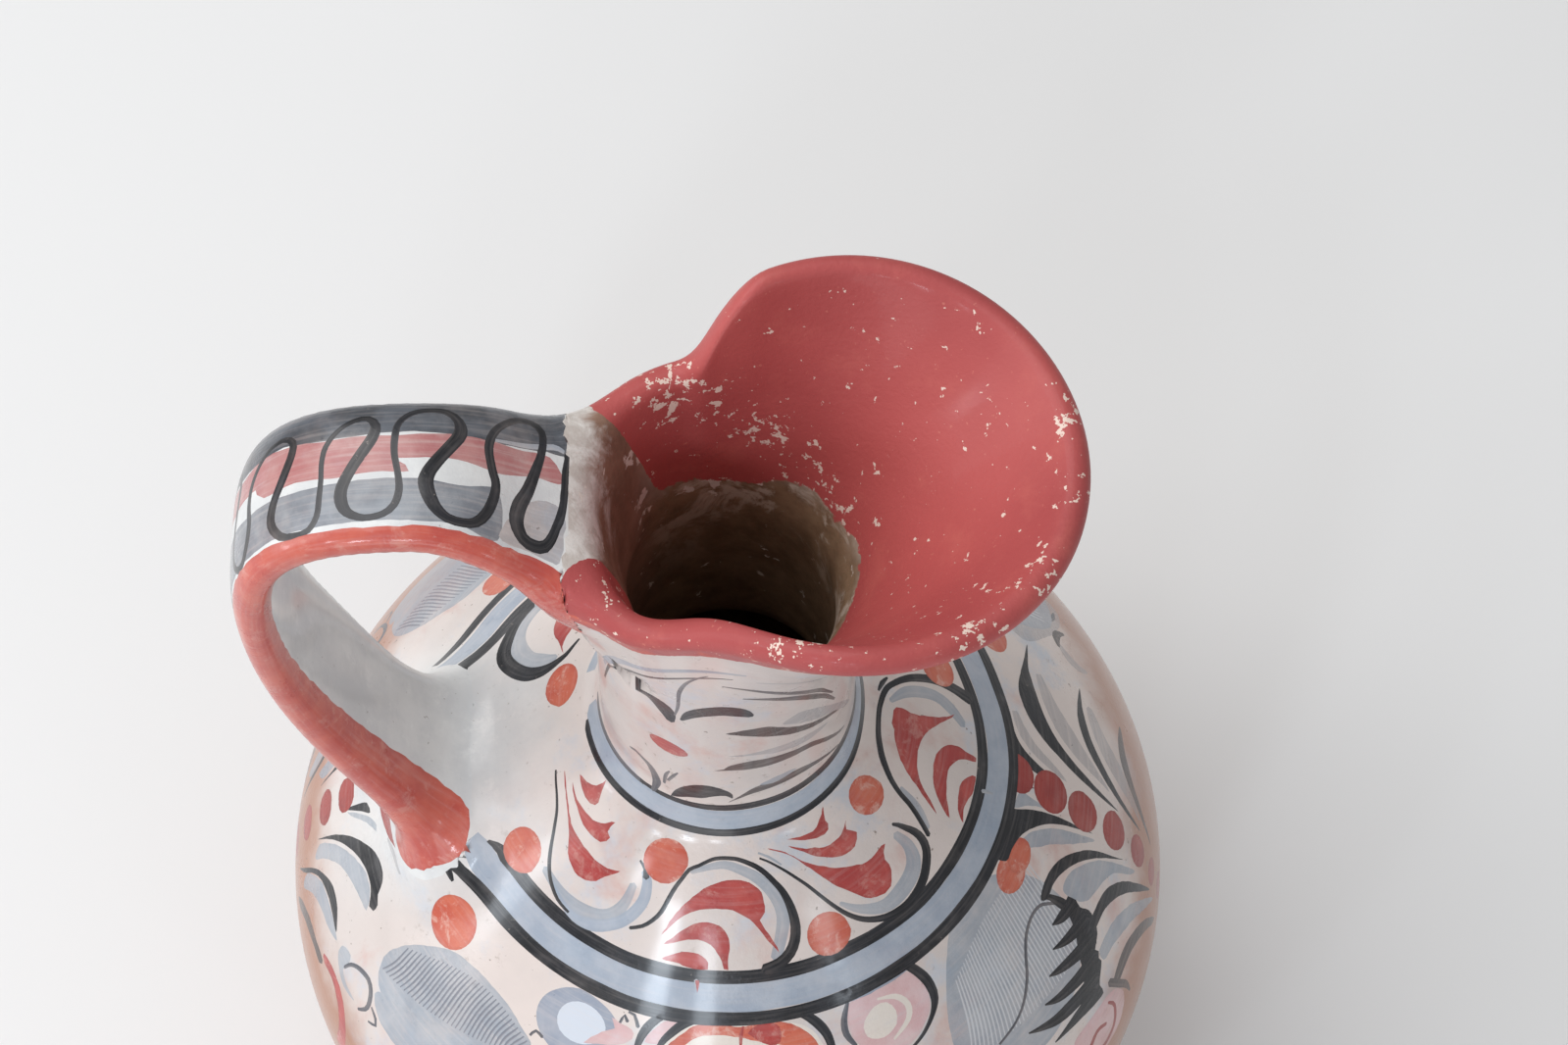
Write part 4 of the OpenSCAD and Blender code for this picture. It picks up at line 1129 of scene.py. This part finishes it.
def body_grid():
    """Rows of points over the rounded edge, down the inside and over the floor, and under the foot."""
    a = np.linspace(SEAM - 2 * math.pi, SEAM, COLUMNS + 1)
    inner = [spin(rim_point(a, math.radians(-90 + 20 * i)), a) for i in range(1, 9)]
    inner += [spin(wall_point(a, np.full_like(a, s), 1), a) for s in np.linspace(1, 0, 30)]
    low, high = 0.0, shoulder_angle(NECK_R)
    for _ in range(40):
        half = (low + high) / 2
        low, high = (half, high) if shoulder(half, WALL)[0] > NECK_R - 1 else (low, half)
    start = shoulder(low, WALL)
    tube = NECK_R - NECK_WALL
    profile = [[tube, z] for z in np.linspace(NECK_TOP - 3, start[1] + 9, 9)]
    profile += list(bezier([[tube, start[1] + 8], [tube, start[1] + 1], start], np.linspace(0, 1, 6)))
    profile += list(shoulder(np.linspace(low, 0, 26)[1:], WALL))
    floor_angle = math.asin((BELLY_H - FLOOR_T) / (BOWL_DEPTH - WALL))
    profile += list(bowl(np.linspace(0, -floor_angle, 20)[1:], WALL))
    edge = profile[-1]
    profile += [[r, edge[1]] for r in np.linspace(edge[0], 3, 9)[1:]]
    inner += [spin(np.tile(p, (len(a), 1)), a) for p in profile]
    foot_r = float(bowl(-FOOT_ANGLE)[0])
    turn = [[foot_r - FOOT_ROUND, -BELLY_H], [foot_r, -BELLY_H], bowl(-FOOT_ANGLE + math.radians(3))]
    foot = list(bezier(turn, np.array([0.75, 0.5, 0.25, 0])))
    foot += [[r, -BELLY_H] for r in np.linspace(foot_r - FOOT_ROUND, 3, 9)[1:]]
    under = [spin(np.tile(p, (len(a), 1)), a) for p in foot]
    return inner, under


class Skin:
    """Points and faces of one mesh, each face with its ink and each corner with its brush numbers."""

    def __init__(self):
        self.points = []
        self.faces = []
        self.inks = []
        self.brush = []

    def add(self, points, faces, inks, brush):
        base = len(self.points)
        self.points += [tuple(p) for p in points]
        self.faces += [tuple(int(i) + base for i in f) for f in faces]
        self.inks += list(inks)
        self.brush += [tuple(b) for rows in brush for b in rows]

    def sheet(self, drawing, x0, x1, y0, y1, columns, gap, seed, place, ground):
        flat, faces, ink, brush = inked_sheet(drawing, x0, x1, y0, y1, columns, gap, seed)
        names = [ground] + [s["ink"] for s in drawing.shapes]
        self.add(place(flat[:, 0], flat[:, 1]), faces, [names[i] for i in ink], brush)

    def grid(self, rows, ink, measure):
        points = np.concatenate(rows)
        n = len(rows[0])
        faces = []
        for i in range(len(rows) - 1):
            for j in range(n - 1):
                faces.append((i * n + j, i * n + j + 1, (i + 1) * n + j + 1, (i + 1) * n + j))
        numbers = measure(points)
        self.add(points, faces, [ink] * len(faces), [[numbers[i] for i in f] for f in faces])

    def cap(self, ring, ink):
        """Closes a ring of points with a fan to its middle."""
        points = np.concatenate([ring, ring[:-1].mean(0, keepdims=True)])
        faces = [(j, j + 1, len(ring)) for j in range(len(ring) - 1)]
        self.add(points, faces, [ink] * len(faces), [[(0, 0, 0)] * 3] * len(faces))

    def mesh(self, name):
        data = bpy.data.meshes.new(name)
        data.from_pydata(self.points, [], self.faces)
        names = sorted(set(self.inks))
        for ink in names:
            data.materials.append(material(ink))
        data.polygons.foreach_set("material_index", [names.index(i) for i in self.inks])
        layer = data.attributes.new("brush", "FLOAT_VECTOR", "CORNER")
        layer.data.foreach_set("vector", np.array(self.brush, dtype=np.float32).ravel())
        bm = bmesh.new()
        bm.from_mesh(data)
        bmesh.ops.remove_doubles(bm, verts=bm.verts, dist=0.004)
        bmesh.ops.triangulate(bm, faces=bm.faces)
        bmesh.ops.recalc_face_normals(bm, faces=bm.faces)
        if bm.calc_volume(signed=True) < 0:
            bmesh.ops.reverse_faces(bm, faces=bm.faces)
        bm.to_mesh(data)
        bm.free()
        return data


def mouth_numbers(points):
    a = np.arctan2(points[:, 1], points[:, 0])
    return np.column_stack([points[:, 2] - lip_edge(a), a * 35, np.hypot(points[:, 0], points[:, 1])])


def body_mesh():
    skin = Skin()
    drawing = paint_pot()
    paint_lip(drawing)
    first, last = SEAM - 2 * math.pi, SEAM
    skin.sheet(drawing, first, last, CHART[0], CHART_TOP + FLARE_SPAN, COLUMNS, BODY_GAP, 3,
        place_outside, "clay")
    inner, under = body_grid()
    a = np.linspace(first, last, COLUMNS + 1)
    top = place_outside(a, np.full_like(a, CHART_TOP + FLARE_SPAN))
    low = place_outside(a, np.full_like(a, CHART[0]))
    skin.grid([top] + inner, "mouth", mouth_numbers)
    skin.cap(inner[-1], "mouth")
    skin.grid([low] + under, "foot", mouth_numbers)
    skin.cap(under[-1], "foot")
    return skin.mesh("body")


def strap_mesh():
    skin = Skin()
    half = STRAP_ROUND / 2
    skin.sheet(paint_strap(), -half, half, 0.0, STRAP_L, STRAP_COLUMNS, STRAP_GAP, 7, place_strap,
        "strap")
    x = np.linspace(-half, half, STRAP_COLUMNS + 1)
    skin.cap(place_strap(x, np.zeros_like(x)), "strap")
    skin.cap(place_strap(x, np.full_like(x, STRAP_L)), "strap")
    return skin.mesh("strap")


def made_object(name, data):
    piece = bpy.data.objects.new(name, data)
    bpy.context.scene.collection.objects.link(piece)
    return piece


def joined(body, strap):
    """One skin from the two, with the crease between them filled to a soft blend.

    The blend leaves a few dozen edges without exactly two faces, so the skin isn't quite closed.
    """
    trees = []
    for data in (body, strap):
        bm = bmesh.new()
        bm.from_mesh(data)
        trees.append(BVHTree.FromBMesh(bm))
        bm.free()
    piece, tool = made_object("pitcher_clay", body), made_object("strap_tool", strap)
    union = piece.modifiers.new("union", "BOOLEAN")
    union.operation = "UNION"
    union.solver = "MANIFOLD"
    union.material_mode = "TRANSFER"
    union.object = tool
    held = bpy.context.evaluated_depsgraph_get()
    data = bpy.data.meshes.new_from_object(piece.evaluated_get(held))
    piece.modifiers.clear()
    piece.data = data
    bpy.data.objects.remove(tool)
    soften(data, trees, BLEND)
    return piece


def signed(tree, point):
    spot, normal, _, gap = tree.find_nearest(point)
    away = point - spot
    sign = 1 if away.dot(normal) >= 0 else -1
    if gap > 0.2:
        return sign * gap, away * (sign / gap)
    return away.dot(normal), normal


def soften(data, trees, reach):
    bm = bmesh.new()
    bm.from_mesh(data)
    for _ in range(2):
        near = []
        for vert in bm.verts:
            if vert.co.x < BLEND_SIDE and all(abs(signed(t, vert.co)[0]) < reach for t in trees):
                near.append(vert)
        marked = set(near)
        inner = [e for e in bm.edges if e.verts[0] in marked and e.verts[1] in marked]
        edges = [e for e in inner if e.calc_length() > BLEND_EDGE]
        if not edges:
            break
        bmesh.ops.subdivide_edges(bm, edges=edges, cuts=1)
        bmesh.ops.triangulate(bm, faces=bm.faces)
    for vert in bm.verts:
        if vert.co.x > BLEND_SIDE:
            continue
        point = vert.co.copy()
        for _ in range(4):
            (d1, n1), (d2, n2) = signed(trees[0], point), signed(trees[1], point)
            h = max(reach - abs(d1 - d2), 0) / reach
            if h <= 0:
                break
            depth = min(d1, d2) - h * h * reach / 4
            slope = n1 * (1 - h / 2) + n2 * h / 2 if d1 < d2 else n1 * h / 2 + n2 * (1 - h / 2)
            point -= slope * (depth / max(0.3, slope.length_squared))
        if (point - vert.co).length > 1e-4:
            vert.co = point
    near = [v for v in bm.verts if v.co.x < BLEND_SIDE]
    bmesh.ops.remove_doubles(bm, verts=near, dist=0.12)
    bmesh.ops.dissolve_degenerate(bm, edges=bm.edges, dist=0.02)
    bmesh.ops.triangulate(bm, faces=bm.faces)
    bm.to_mesh(data)
    bm.free()


# Materials


def rgb(red, green, blue):
    """Linear colour from the usual 0 to 255 numbers."""
    return [*(((c / 255 + 0.055) / 1.055) ** 2.4 if c > 10 else c / 255 / 12.92 for c in (red, green,
        blue)), 1]


def node(tree, kind, settings=None, **sockets):
    made = tree.nodes.new("ShaderNode" + kind)
    for key, value in (settings or {}).items():
        setattr(made, key, value)
    for key, value in sockets.items():
        socket = made.inputs[int(key[1:])] if key[0] == "i" and key[1:].isdigit() else made.inputs[key]
        if isinstance(value, bpy.types.NodeSocket):
            tree.links.new(value, socket)
        else:
            socket.default_value = value
    return made


def blended(tree, share, first, second, how="MIX"):
    made = node(tree, "Mix", {"data_type": "RGBA", "blend_type": how, "clamp_factor": True})
    for index, value in ((0, share), (6, first), (7, second)):
        if isinstance(value, bpy.types.NodeSocket):
            tree.links.new(value, made.inputs[index])
        else:
            made.inputs[index].default_value = value
    return made.outputs[2]


def number(tree, how, first, second=0.5, third=0.5):
    made = node(tree, "Math", {"operation": how})
    for index, value in enumerate((first, second, third)):
        if isinstance(value, bpy.types.NodeSocket):
            tree.links.new(value, made.inputs[index])
        else:
            made.inputs[index].default_value = value
    return made.outputs[0]


def ramp(tree, value, low, high, start=0.0, stop=1.0):
    made = node(tree, "MapRange", {"interpolation_type": "SMOOTHSTEP"}, Value=value)
    made.inputs["From Min"].default_value = low
    made.inputs["From Max"].default_value = high
    made.inputs["To Min"].default_value = start
    made.inputs["To Max"].default_value = stop
    return made.outputs[0]


def noise(tree, where, scale, detail=3.0, rough=0.5, twist=0.0):
    made = node(tree, "TexNoise", None, Vector=where)
    made.inputs["Scale"].default_value = scale
    made.inputs["Detail"].default_value = detail
    made.inputs["Roughness"].default_value = rough
    made.inputs["Distortion"].default_value = twist
    return made.outputs[0]


class Look:
    """One material's nodes, with the things that several of them use."""

    def __init__(self, name):
        self.material = bpy.data.materials.new(name)
        self.material.use_nodes = True
        self.tree = self.material.node_tree
        self.tree.nodes.clear()
        self.place = node(self.tree, "TexCoord").outputs["Object"]
        brush = node(self.tree, "Attribute", {"attribute_name": "brush", "attribute_type": "GEOMETRY"})
        apart = node(self.tree, "SeparateXYZ", None, Vector=brush.outputs["Vector"])
        self.brush = brush.outputs["Vector"]
        self.run, self.side, self.depth = apart.outputs
        self.lengthwise, self.across, self.height = node(self.tree, "SeparateXYZ", None,
            Vector=self.place).outputs

    def noise(self, size, detail=3.0, rough=0.5, twist=0.0):
        """Noise whose features are about this many millimetres across."""
        return noise(self.tree, self.place, 1000.0 / size, detail, rough, twist)

    def streaks(self):
        """Lines that the hairs of the brush leave along a stroke."""
        long = node(self.tree, "VectorMath", {"operation": "MULTIPLY"}, i0=self.brush, i1=(0.05, 1.1,
            0.0))
        return noise(self.tree, long.outputs[0], 1.0, 3.0, 0.6)

    def slip(self):
        """The pale burnished ground: pinkish and greyish clouds, and tan clay low on the body whose
        border rises toward the far side, so that the tan also paints the warm reflection along the
        outline.
        """
        t = self.tree
        cloud = ramp(t, self.noise(46, 4, 0.6), 0.38, 0.62)
        colour = blended(t, cloud, rgb(222, 209, 203), rgb(210, 199, 194))
        colour = blended(t, ramp(t, self.noise(24, 5, 0.7), 0.50, 0.70), colour, rgb(196, 199, 207))
        colour = blended(t, ramp(t, self.noise(34, 5, 0.65, 0.4), 0.52, 0.72), colour, rgb(206, 172, 164))
        # Tan low on the body, its border set higher toward the far side (+y): tan clay, and a painted
        # warm reflection along the outline
        tan_reflection_height = number(t, "MULTIPLY_ADD", self.across, -0.21, self.height)
        tan_reflection_height = number(t, "MULTIPLY_ADD", self.noise(18, 4, 0.6), 0.02, tan_reflection_height)
        low = ramp(t, tan_reflection_height, 0.131, 0.147, 1.0, 0.0)
        colour = blended(t, number(t, "MULTIPLY", low, 0.92), colour, rgb(166, 106, 72))
        dirt = number(t, "MULTIPLY", ramp(t, self.noise(3.6, 5, 0.75), 0.58, 0.70), ramp(t,
            self.noise(40, 2, 0.5), 0.5, 0.62))
        colour = blended(t, number(t, "MULTIPLY", dirt, 0.55), colour, rgb(150, 130, 116))
        specks = ramp(t, self.noise(1.6, 2, 0.6), 0.70, 0.76)
        colour = blended(t, number(t, "MULTIPLY", specks, 0.7), colour, rgb(120, 100, 86))
        near_root = ramp(t, self.gap_from((-0.078, 0.0, 0.172), 0.022), 0.030, 0.066, 1.0, 0.0)
        return blended(t, number(t, "MULTIPLY", near_root, 0.9), colour, self.greyed())

    def gap_from(self, spot, wobble=0.0):
        """Metres from a spot, wavering by a noise."""
        t = self.tree
        gap = node(t, "VectorMath", {"operation": "DISTANCE"}, i0=self.place, i1=spot).outputs["Value"]
        return number(t, "MULTIPLY_ADD", self.noise(14, 4, 0.6), wobble, gap) if wobble else gap

    def greyed(self):
        """The cooler, rubbed slip on and round the handle."""
        t = self.tree
        colour = blended(t, ramp(t, self.noise(20, 5, 0.65), 0.35, 0.65), rgb(224, 224, 223), rgb(208,
            209, 210))
        colour = blended(t, ramp(t, self.noise(7, 5, 0.75), 0.54, 0.72, 0.0, 0.6), colour, rgb(234, 234,
            233))
        return blended(t, ramp(t, self.noise(1.9, 3, 0.6), 0.68, 0.76, 0.0, 0.6), colour, rgb(128, 116,
            106))

    def mouth_end(self):
        """Where the strap runs into the mouth: pale smears over brown clay."""
        t = self.tree
        inward = number(t, "MULTIPLY_ADD", self.noise(8, 5, 0.7, 0.5), 0.016, self.lengthwise)
        pale = blended(t, ramp(t, self.noise(6, 5, 0.7, 0.4), 0.4, 0.62), rgb(222, 217, 212), rgb(196,
            187, 180))
        brown = blended(t, ramp(t, self.noise(9, 5, 0.7), 0.3, 0.7), rgb(150, 118, 100), rgb(120, 92, 76))
        return blended(t, ramp(t, inward, -0.0205, -0.0150), pale, brown)

    def worn(self, colour, amount=0.5):
        """Fine scuffs that show pale slip through a paint."""
        t = self.tree
        small = ramp(t, self.noise(2.2, 4, 0.7, 0.3), 0.66, 0.74)
        patch = ramp(t, self.noise(28, 3, 0.6), 0.42, 0.62)
        return blended(t, number(t, "MULTIPLY", number(t, "MULTIPLY", small, patch), amount), colour,
            rgb(222, 206, 194))

    def finish(self, colour, rough=0.30, grain=0.35, sheen_patches=0.14, coat=0.5):
        t = self.tree
        wide = self.noise(30, 3, 0.5)
        gloss = number(t, "MULTIPLY_ADD", self.noise(9, 4, 0.6), sheen_patches, rough - sheen_patches / 2)
        gloss = number(t, "MULTIPLY_ADD", wide, 0.12, number(t, "SUBTRACT", gloss, 0.06))
        fine = self.noise(1.1, 3, 0.6)
        waves = self.noise(11, 2, 0.4)
        high = number(t, "MULTIPLY_ADD", waves, 2.2, fine)
        bump = node(t, "Bump", None, Height=high)
        bump.inputs["Strength"].default_value = grain
        bump.inputs["Distance"].default_value = 0.00022
        surface = node(t, "BsdfPrincipled", None, Roughness=gloss, Normal=bump.outputs[0])
        t.links.new(colour, surface.inputs["Base Color"])
        surface.inputs["Specular IOR Level"].default_value = 0.3
        surface.inputs["Coat Weight"].default_value = coat
        surface.inputs["Coat Roughness"].default_value = 0.12
        out = node(t, "OutputMaterial")
        t.links.new(surface.outputs[0], out.inputs[0])
        return self.material


def ink_look(name, tone, cover=1.0, thin=0.35, edge=0.25, rough=0.29, second=None, rub=0.0):
    """Thinned slip colour on the ground: streaky along the stroke, darker where it pooled at the edge."""
    look = Look(name)
    t = look.tree
    ground = look.slip()
    paint = blended(t, ramp(t, look.noise(8, 4, 0.6), 0.35, 0.65), tone, second or tone)
    pooled = ramp(t, look.depth, 0.0, 0.9, edge, 0.0)
    paint = blended(t, pooled, paint, [c * 0.35 for c in tone[:3]] + [1], "MIX")
    gaps = ramp(t, look.streaks(), 0.42, 0.74, 0.0, thin * 0.7)
    amount = number(t, "SUBTRACT", cover, gaps)
    amount = number(t, "SUBTRACT", amount, ramp(t, look.noise(15, 4, 0.65), 0.5, 0.75, 0.0, thin * 0.6))
    colour = blended(t, amount, ground, paint)
    if rub:
        rubbed = ramp(t, look.noise(5, 5, 0.75, 0.4), 0.52, 0.66, 0.0, rub)
        colour = blended(t, rubbed, colour, blended(t, 0.45, rgb(236, 214, 200), tone))
    return look.finish(look.worn(colour, 0.35), rough)


def clay_look(name):
    look = Look(name)
    return look.finish(look.slip())


def foot_look(name):
    look = Look(name)
    t = look.tree
    colour = blended(t, ramp(t, look.noise(20, 4, 0.6), 0.35, 0.65), rgb(168, 128, 96), rgb(146, 110, 84))
    return look.finish(colour, 0.72, 0.9, 0.1, 0.0)


# Where the red of the mouth is chipped, in metres, and how far round each place
CHIPPED = [
    ((-0.017, 0.026, 0.283), 0.015), ((-0.006, 0.027, 0.279), 0.013), ((0.007, 0.027, 0.268), 0.013),
    ((0.018, 0.021, 0.257), 0.014), ((0.025, 0.012, 0.253), 0.012), ((0.026, 0.003, 0.248), 0.010),
    ((0.068, 0.010, 0.301), 0.012), ((0.066, -0.006, 0.300), 0.010), ((0.059, -0.025, 0.302), 0.010),
    ((0.045, -0.038, 0.304), 0.013), ((0.012, -0.037, 0.302), 0.014), ((-0.022, -0.018, 0.280), 0.015),
]
# Where white slip has run down over the bare clay of the throat, likewise
SMEARED = [
    ((-0.005, 0.023, 0.250), 0.009), ((-0.019, 0.021, 0.268), 0.010), ((-0.020, 0.018, 0.256), 0.010),
    ((-0.021, 0.014, 0.243), 0.009), ((0.004, 0.024, 0.252), 0.007),
]


def mouth_look(name, always=False):
    """Red slip inside the mouth, down to a ragged border over bare clay in the throat."""
    look = Look(name)
    t = look.tree
    red = blended(t, ramp(t, look.noise(60, 3, 0.5), 0.3, 0.7), rgb(184, 86, 84), rgb(168, 74, 74))
    red = blended(t, ramp(t, look.noise(14, 5, 0.7), 0.5, 0.8, 0.0, 0.4), red, rgb(200, 108, 98))
    chip = look.noise(2.7, 3, 0.7)
    for spot, reach in CHIPPED:
        near = ramp(t, look.gap_from(spot), 0.0, reach, 0.105, 0.0)
        chip = number(t, "ADD", chip, near)
    red = blended(t, ramp(t, chip, 0.665, 0.69), red, rgb(228, 205, 192))
    dust = ramp(t, look.noise(1.3, 2, 0.6), 0.68, 0.76, 0.0, 0.5)
    red = blended(t, dust, red, rgb(206, 128, 112))
    if always:
        warm = ramp(t, look.noise(12, 5, 0.7, 0.3), 0.46, 0.66, 0.0, 0.8)
        red = blended(t, warm, red, rgb(212, 96, 68))
        return look.finish(red, 0.5, 0.5, 0.12, 0.4)
    bare = blended(t, ramp(t, look.noise(9, 5, 0.7), 0.3, 0.7), rgb(150, 124, 98), rgb(116, 92, 70))
    smear = ramp(t, look.noise(13, 5, 0.7, 0.6), 0.50, 0.62)
    high = ramp(t, look.height, 0.205, 0.262)
    bare = blended(t, number(t, "MULTIPLY", smear, high), bare, rgb(198, 184, 168))
    pale = ramp(t, number(t, "MULTIPLY_ADD", look.noise(7, 4, 0.6), 0.012, look.height), 0.254, 0.268)
    bare = blended(t, number(t, "MULTIPLY", pale, 0.85), bare, rgb(204, 194, 182))
    bare = blended(t, ramp(t, look.lengthwise, -0.020, -0.012, 1.0, 0.0), bare, look.mouth_end())
    drip = look.noise(5, 4, 0.6, 0.4)
    for spot, reach in SMEARED:
        drip = number(t, "ADD", drip, ramp(t, look.gap_from(spot), 0.0, reach, 0.22, 0.0))
    bare = blended(t, ramp(t, drip, 0.66, 0.70, 0.0, 0.9), bare, rgb(222, 213, 204))
    ragged = number(t, "MULTIPLY_ADD", look.noise(5, 5, 0.7), 9.0, look.run)
    ragged = number(t, "MULTIPLY_ADD", look.noise(22, 3, 0.5), 7.0, ragged)
    share = ramp(t, ragged, 7.6, 8.2)
    return look.finish(blended(t, share, bare, red), 0.55, 0.6, 0.12, 0.12)


def strap_look(name):
    look = Look(name)
    t = look.tree
    mouth = number(t, "MULTIPLY_ADD", look.noise(7, 4, 0.7), 10.0, look.side)
    colour = blended(t, ramp(t, mouth, 26.0, 38.0), look.mouth_end(), look.greyed())
    return look.finish(look.worn(colour, 0.4), 0.36)


# Each ink: its colour, how far it covers, how streaky it is, how much darker its edge is, the
# second colour that it clouds toward, and how far it is rubbed
INKS = {
    "wash": ((140, 152, 166), 0.78, 0.3, 0.08, (160, 168, 178), 0.0),
    "band": ((146, 160, 178), 0.88, 0.2, 0.08, (166, 176, 190), 0.0),
    "blue": ((120, 138, 162), 0.8, 0.3, 0.12, (146, 158, 176), 0.0),
    "black": ((22, 23, 28), 1.0, 0.12, 0.05, (36, 37, 43), 0.0),
    "grey": ((66, 70, 80), 0.95, 0.25, 0.08, None, 0.0),
    "faint": ((150, 148, 152), 0.6, 0.4, 0.0, None, 0.0),
    "brown": ((64, 54, 52), 0.95, 0.25, 0.08, None, 0.0),
    "comb": ((98, 108, 124), 0.85, 0.3, 0.0, None, 0.0),
    "scratch": ((202, 206, 212), 0.85, 0.3, 0.0, None, 0.0),
    "slate": ((58, 63, 71), 0.97, 0.24, 0.1, (86, 92, 101), 0.0),
    "haze": ((106, 112, 122), 0.92, 0.3, 0.08, (134, 140, 148), 0.0),
    "rose": ((172, 96, 98), 0.9, 0.4, 0.08, (186, 122, 120), 0.0),
    "edge": ((188, 78, 68), 1.0, 0.14, 0.1, (202, 98, 82), 0.3),
    "red": ((170, 62, 60), 1.0, 0.16, 0.2, (186, 80, 74), 0.35),
    "deep": ((150, 50, 46), 1.0, 0.14, 0.2, (164, 62, 55), 0.0),
    "orange": ((194, 84, 62), 0.98, 0.16, 0.18, (206, 106, 80), 0.75),
    "pink": ((212, 168, 170), 0.85, 0.4, 0.1, (220, 188, 190), 0.0),
    # Cream given the cool blue-white of a window's reflection: a painted highlight
    "chalk": ((206, 214, 226), 0.9, 0.2, 0.0, None, 0.0),
    "cream": ((226, 216, 206), 0.9, 0.3, 0.0, None, 0.0),
}
_made = {}


def made_look(ink):
    name = ink + "_slip"
    if ink in INKS:
        tone, cover, thin, edge, second, rub = INKS[ink]
        second = rgb(*second) if second else None
        return ink_look(name, rgb(*tone), cover, thin, edge, second=second, rub=rub)
    if ink in ("mouth", "lip"):
        return mouth_look(name, always=ink == "lip")
    return {"clay": clay_look, "foot": foot_look, "strap": strap_look}[ink](name)


def material(ink):
    if ink not in _made:
        _made[ink] = made_look(ink)
    return _made[ink]


# Camera and light

LENS = 85.0


def add_camera():
    """The photograph's view: 68 degrees above the table, with the handle on the left."""
    focal, tilt, away = 3775.0, math.radians(68), 906.465
    aim_x, aim_y, roll = 740.4, 871.6, math.radians(-0.46)
    middle_x, middle_y = 799.5, 533.0
    look = Vector((0, math.cos(tilt), -math.sin(tilt)))
    spot = -look * away + Vector((0, 0, BELLY_H))
    right = Vector((1, 0, 0))
    up = right.cross(look)
    yaw = math.atan((aim_x - middle_x) / focal)
    ahead = look * math.cos(yaw) - right * math.sin(yaw)
    right = right * math.cos(yaw) + look * math.sin(yaw)
    pitch = math.atan(-(aim_y - middle_y) / focal * math.cos(yaw))
    final = ahead * math.cos(pitch) - up * math.sin(pitch)
    up = up * math.cos(pitch) + ahead * math.sin(pitch)
    sideways = right * math.cos(roll) + up * math.sin(roll)
    above = -right * math.sin(roll) + up * math.cos(roll)
    data = bpy.data.cameras.new("camera")
    data.lens = LENS
    data.sensor_width = 36.0
    data.clip_start = 0.05
    piece = bpy.data.objects.new("camera", data)
    turn = Matrix((sideways, above, -final)).transposed().to_4x4()
    piece.matrix_world = Matrix.Translation(spot * MM) @ turn
    bpy.context.scene.collection.objects.link(piece)
    bpy.context.scene.camera = piece


def area_light(name, at, aim, size, power, colour):
    data = bpy.data.lights.new(name, "AREA")
    data.shape = "RECTANGLE"
    data.size, data.size_y = size
    data.energy = power
    data.color = colour
    piece = bpy.data.objects.new(name, data)
    piece.location = at
    piece.rotation_euler = (Vector(aim) - Vector(at)).to_track_quat("-Z", "Y").to_euler()
    bpy.context.scene.collection.objects.link(piece)


def add_lights():
    world = bpy.data.worlds.new("studio")
    world.use_nodes = True
    back = world.node_tree.nodes["Background"]
    back.inputs[0].default_value = (1.0, 1.0, 1.0, 1)
    back.inputs[1].default_value = 0.40
    bpy.context.scene.world = world
    white, cool = (1.0, 1.0, 1.0), (0.82, 0.91, 1.0)
    spot = (0, -0.04, 0.18)
    for light in (
        ("window", (-1.2, -0.1, 0.8), (0, 0, 0.15), (0.9, 1.1), 4.5, white),
        ("low_fill", (-0.5, -1.55, 0.45), (0, 0, 0.2), (1.2, 0.5), 3.8, white),
        ("main_pane", (-0.58, -1.43, 1.01), spot, (0.18, 0.22), 3.2, cool),
        ("wide_pane", (-0.20, -1.58, 0.98), spot, (0.16, 0.18), 1.4, cool),
        ("second_pane", (-0.94, -1.10, 1.14), spot, (0.12, 0.18), 1.2, cool),
        ("left_pane", (-1.57, -0.46, 0.69), spot, (0.22, 0.16), 1.0, cool),
        ("right_pane", (0.87, -1.28, 0.96), spot, (0.2, 0.14), 0.6, cool),
        ("sky", (-0.85, 0.4, 1.85), (0, 0, 0.1), (1.8, 1.8), 23.0, white),
    ):
        area_light(*light)
    bpy.context.scene.view_settings.view_transform = "Standard"


def add_floor():
    data = bpy.data.meshes.new("floor")
    bm = bmesh.new()
    bmesh.ops.create_grid(bm, x_segments=2, y_segments=2, size=6.0)
    bm.to_mesh(data)
    bm.free()
    look = bpy.data.materials.new("floor")
    look.use_nodes = True
    surface = look.node_tree.nodes["Principled BSDF"]
    surface.inputs["Base Color"].default_value = rgb(234, 234, 234)
    surface.inputs["Roughness"].default_value = 0.9
    surface.inputs["Specular IOR Level"].default_value = 0.1
    data.materials.append(look)
    piece = made_object("floor", data)


def main():
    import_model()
    add_camera()
    add_lights()
    add_floor()
    piece = joined(body_mesh(), strap_mesh())
    piece.data.transform(Matrix.Scale(MM, 4))
    piece.data.shade_smooth()
    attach(piece, "root")
    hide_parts("pitcher")


main()
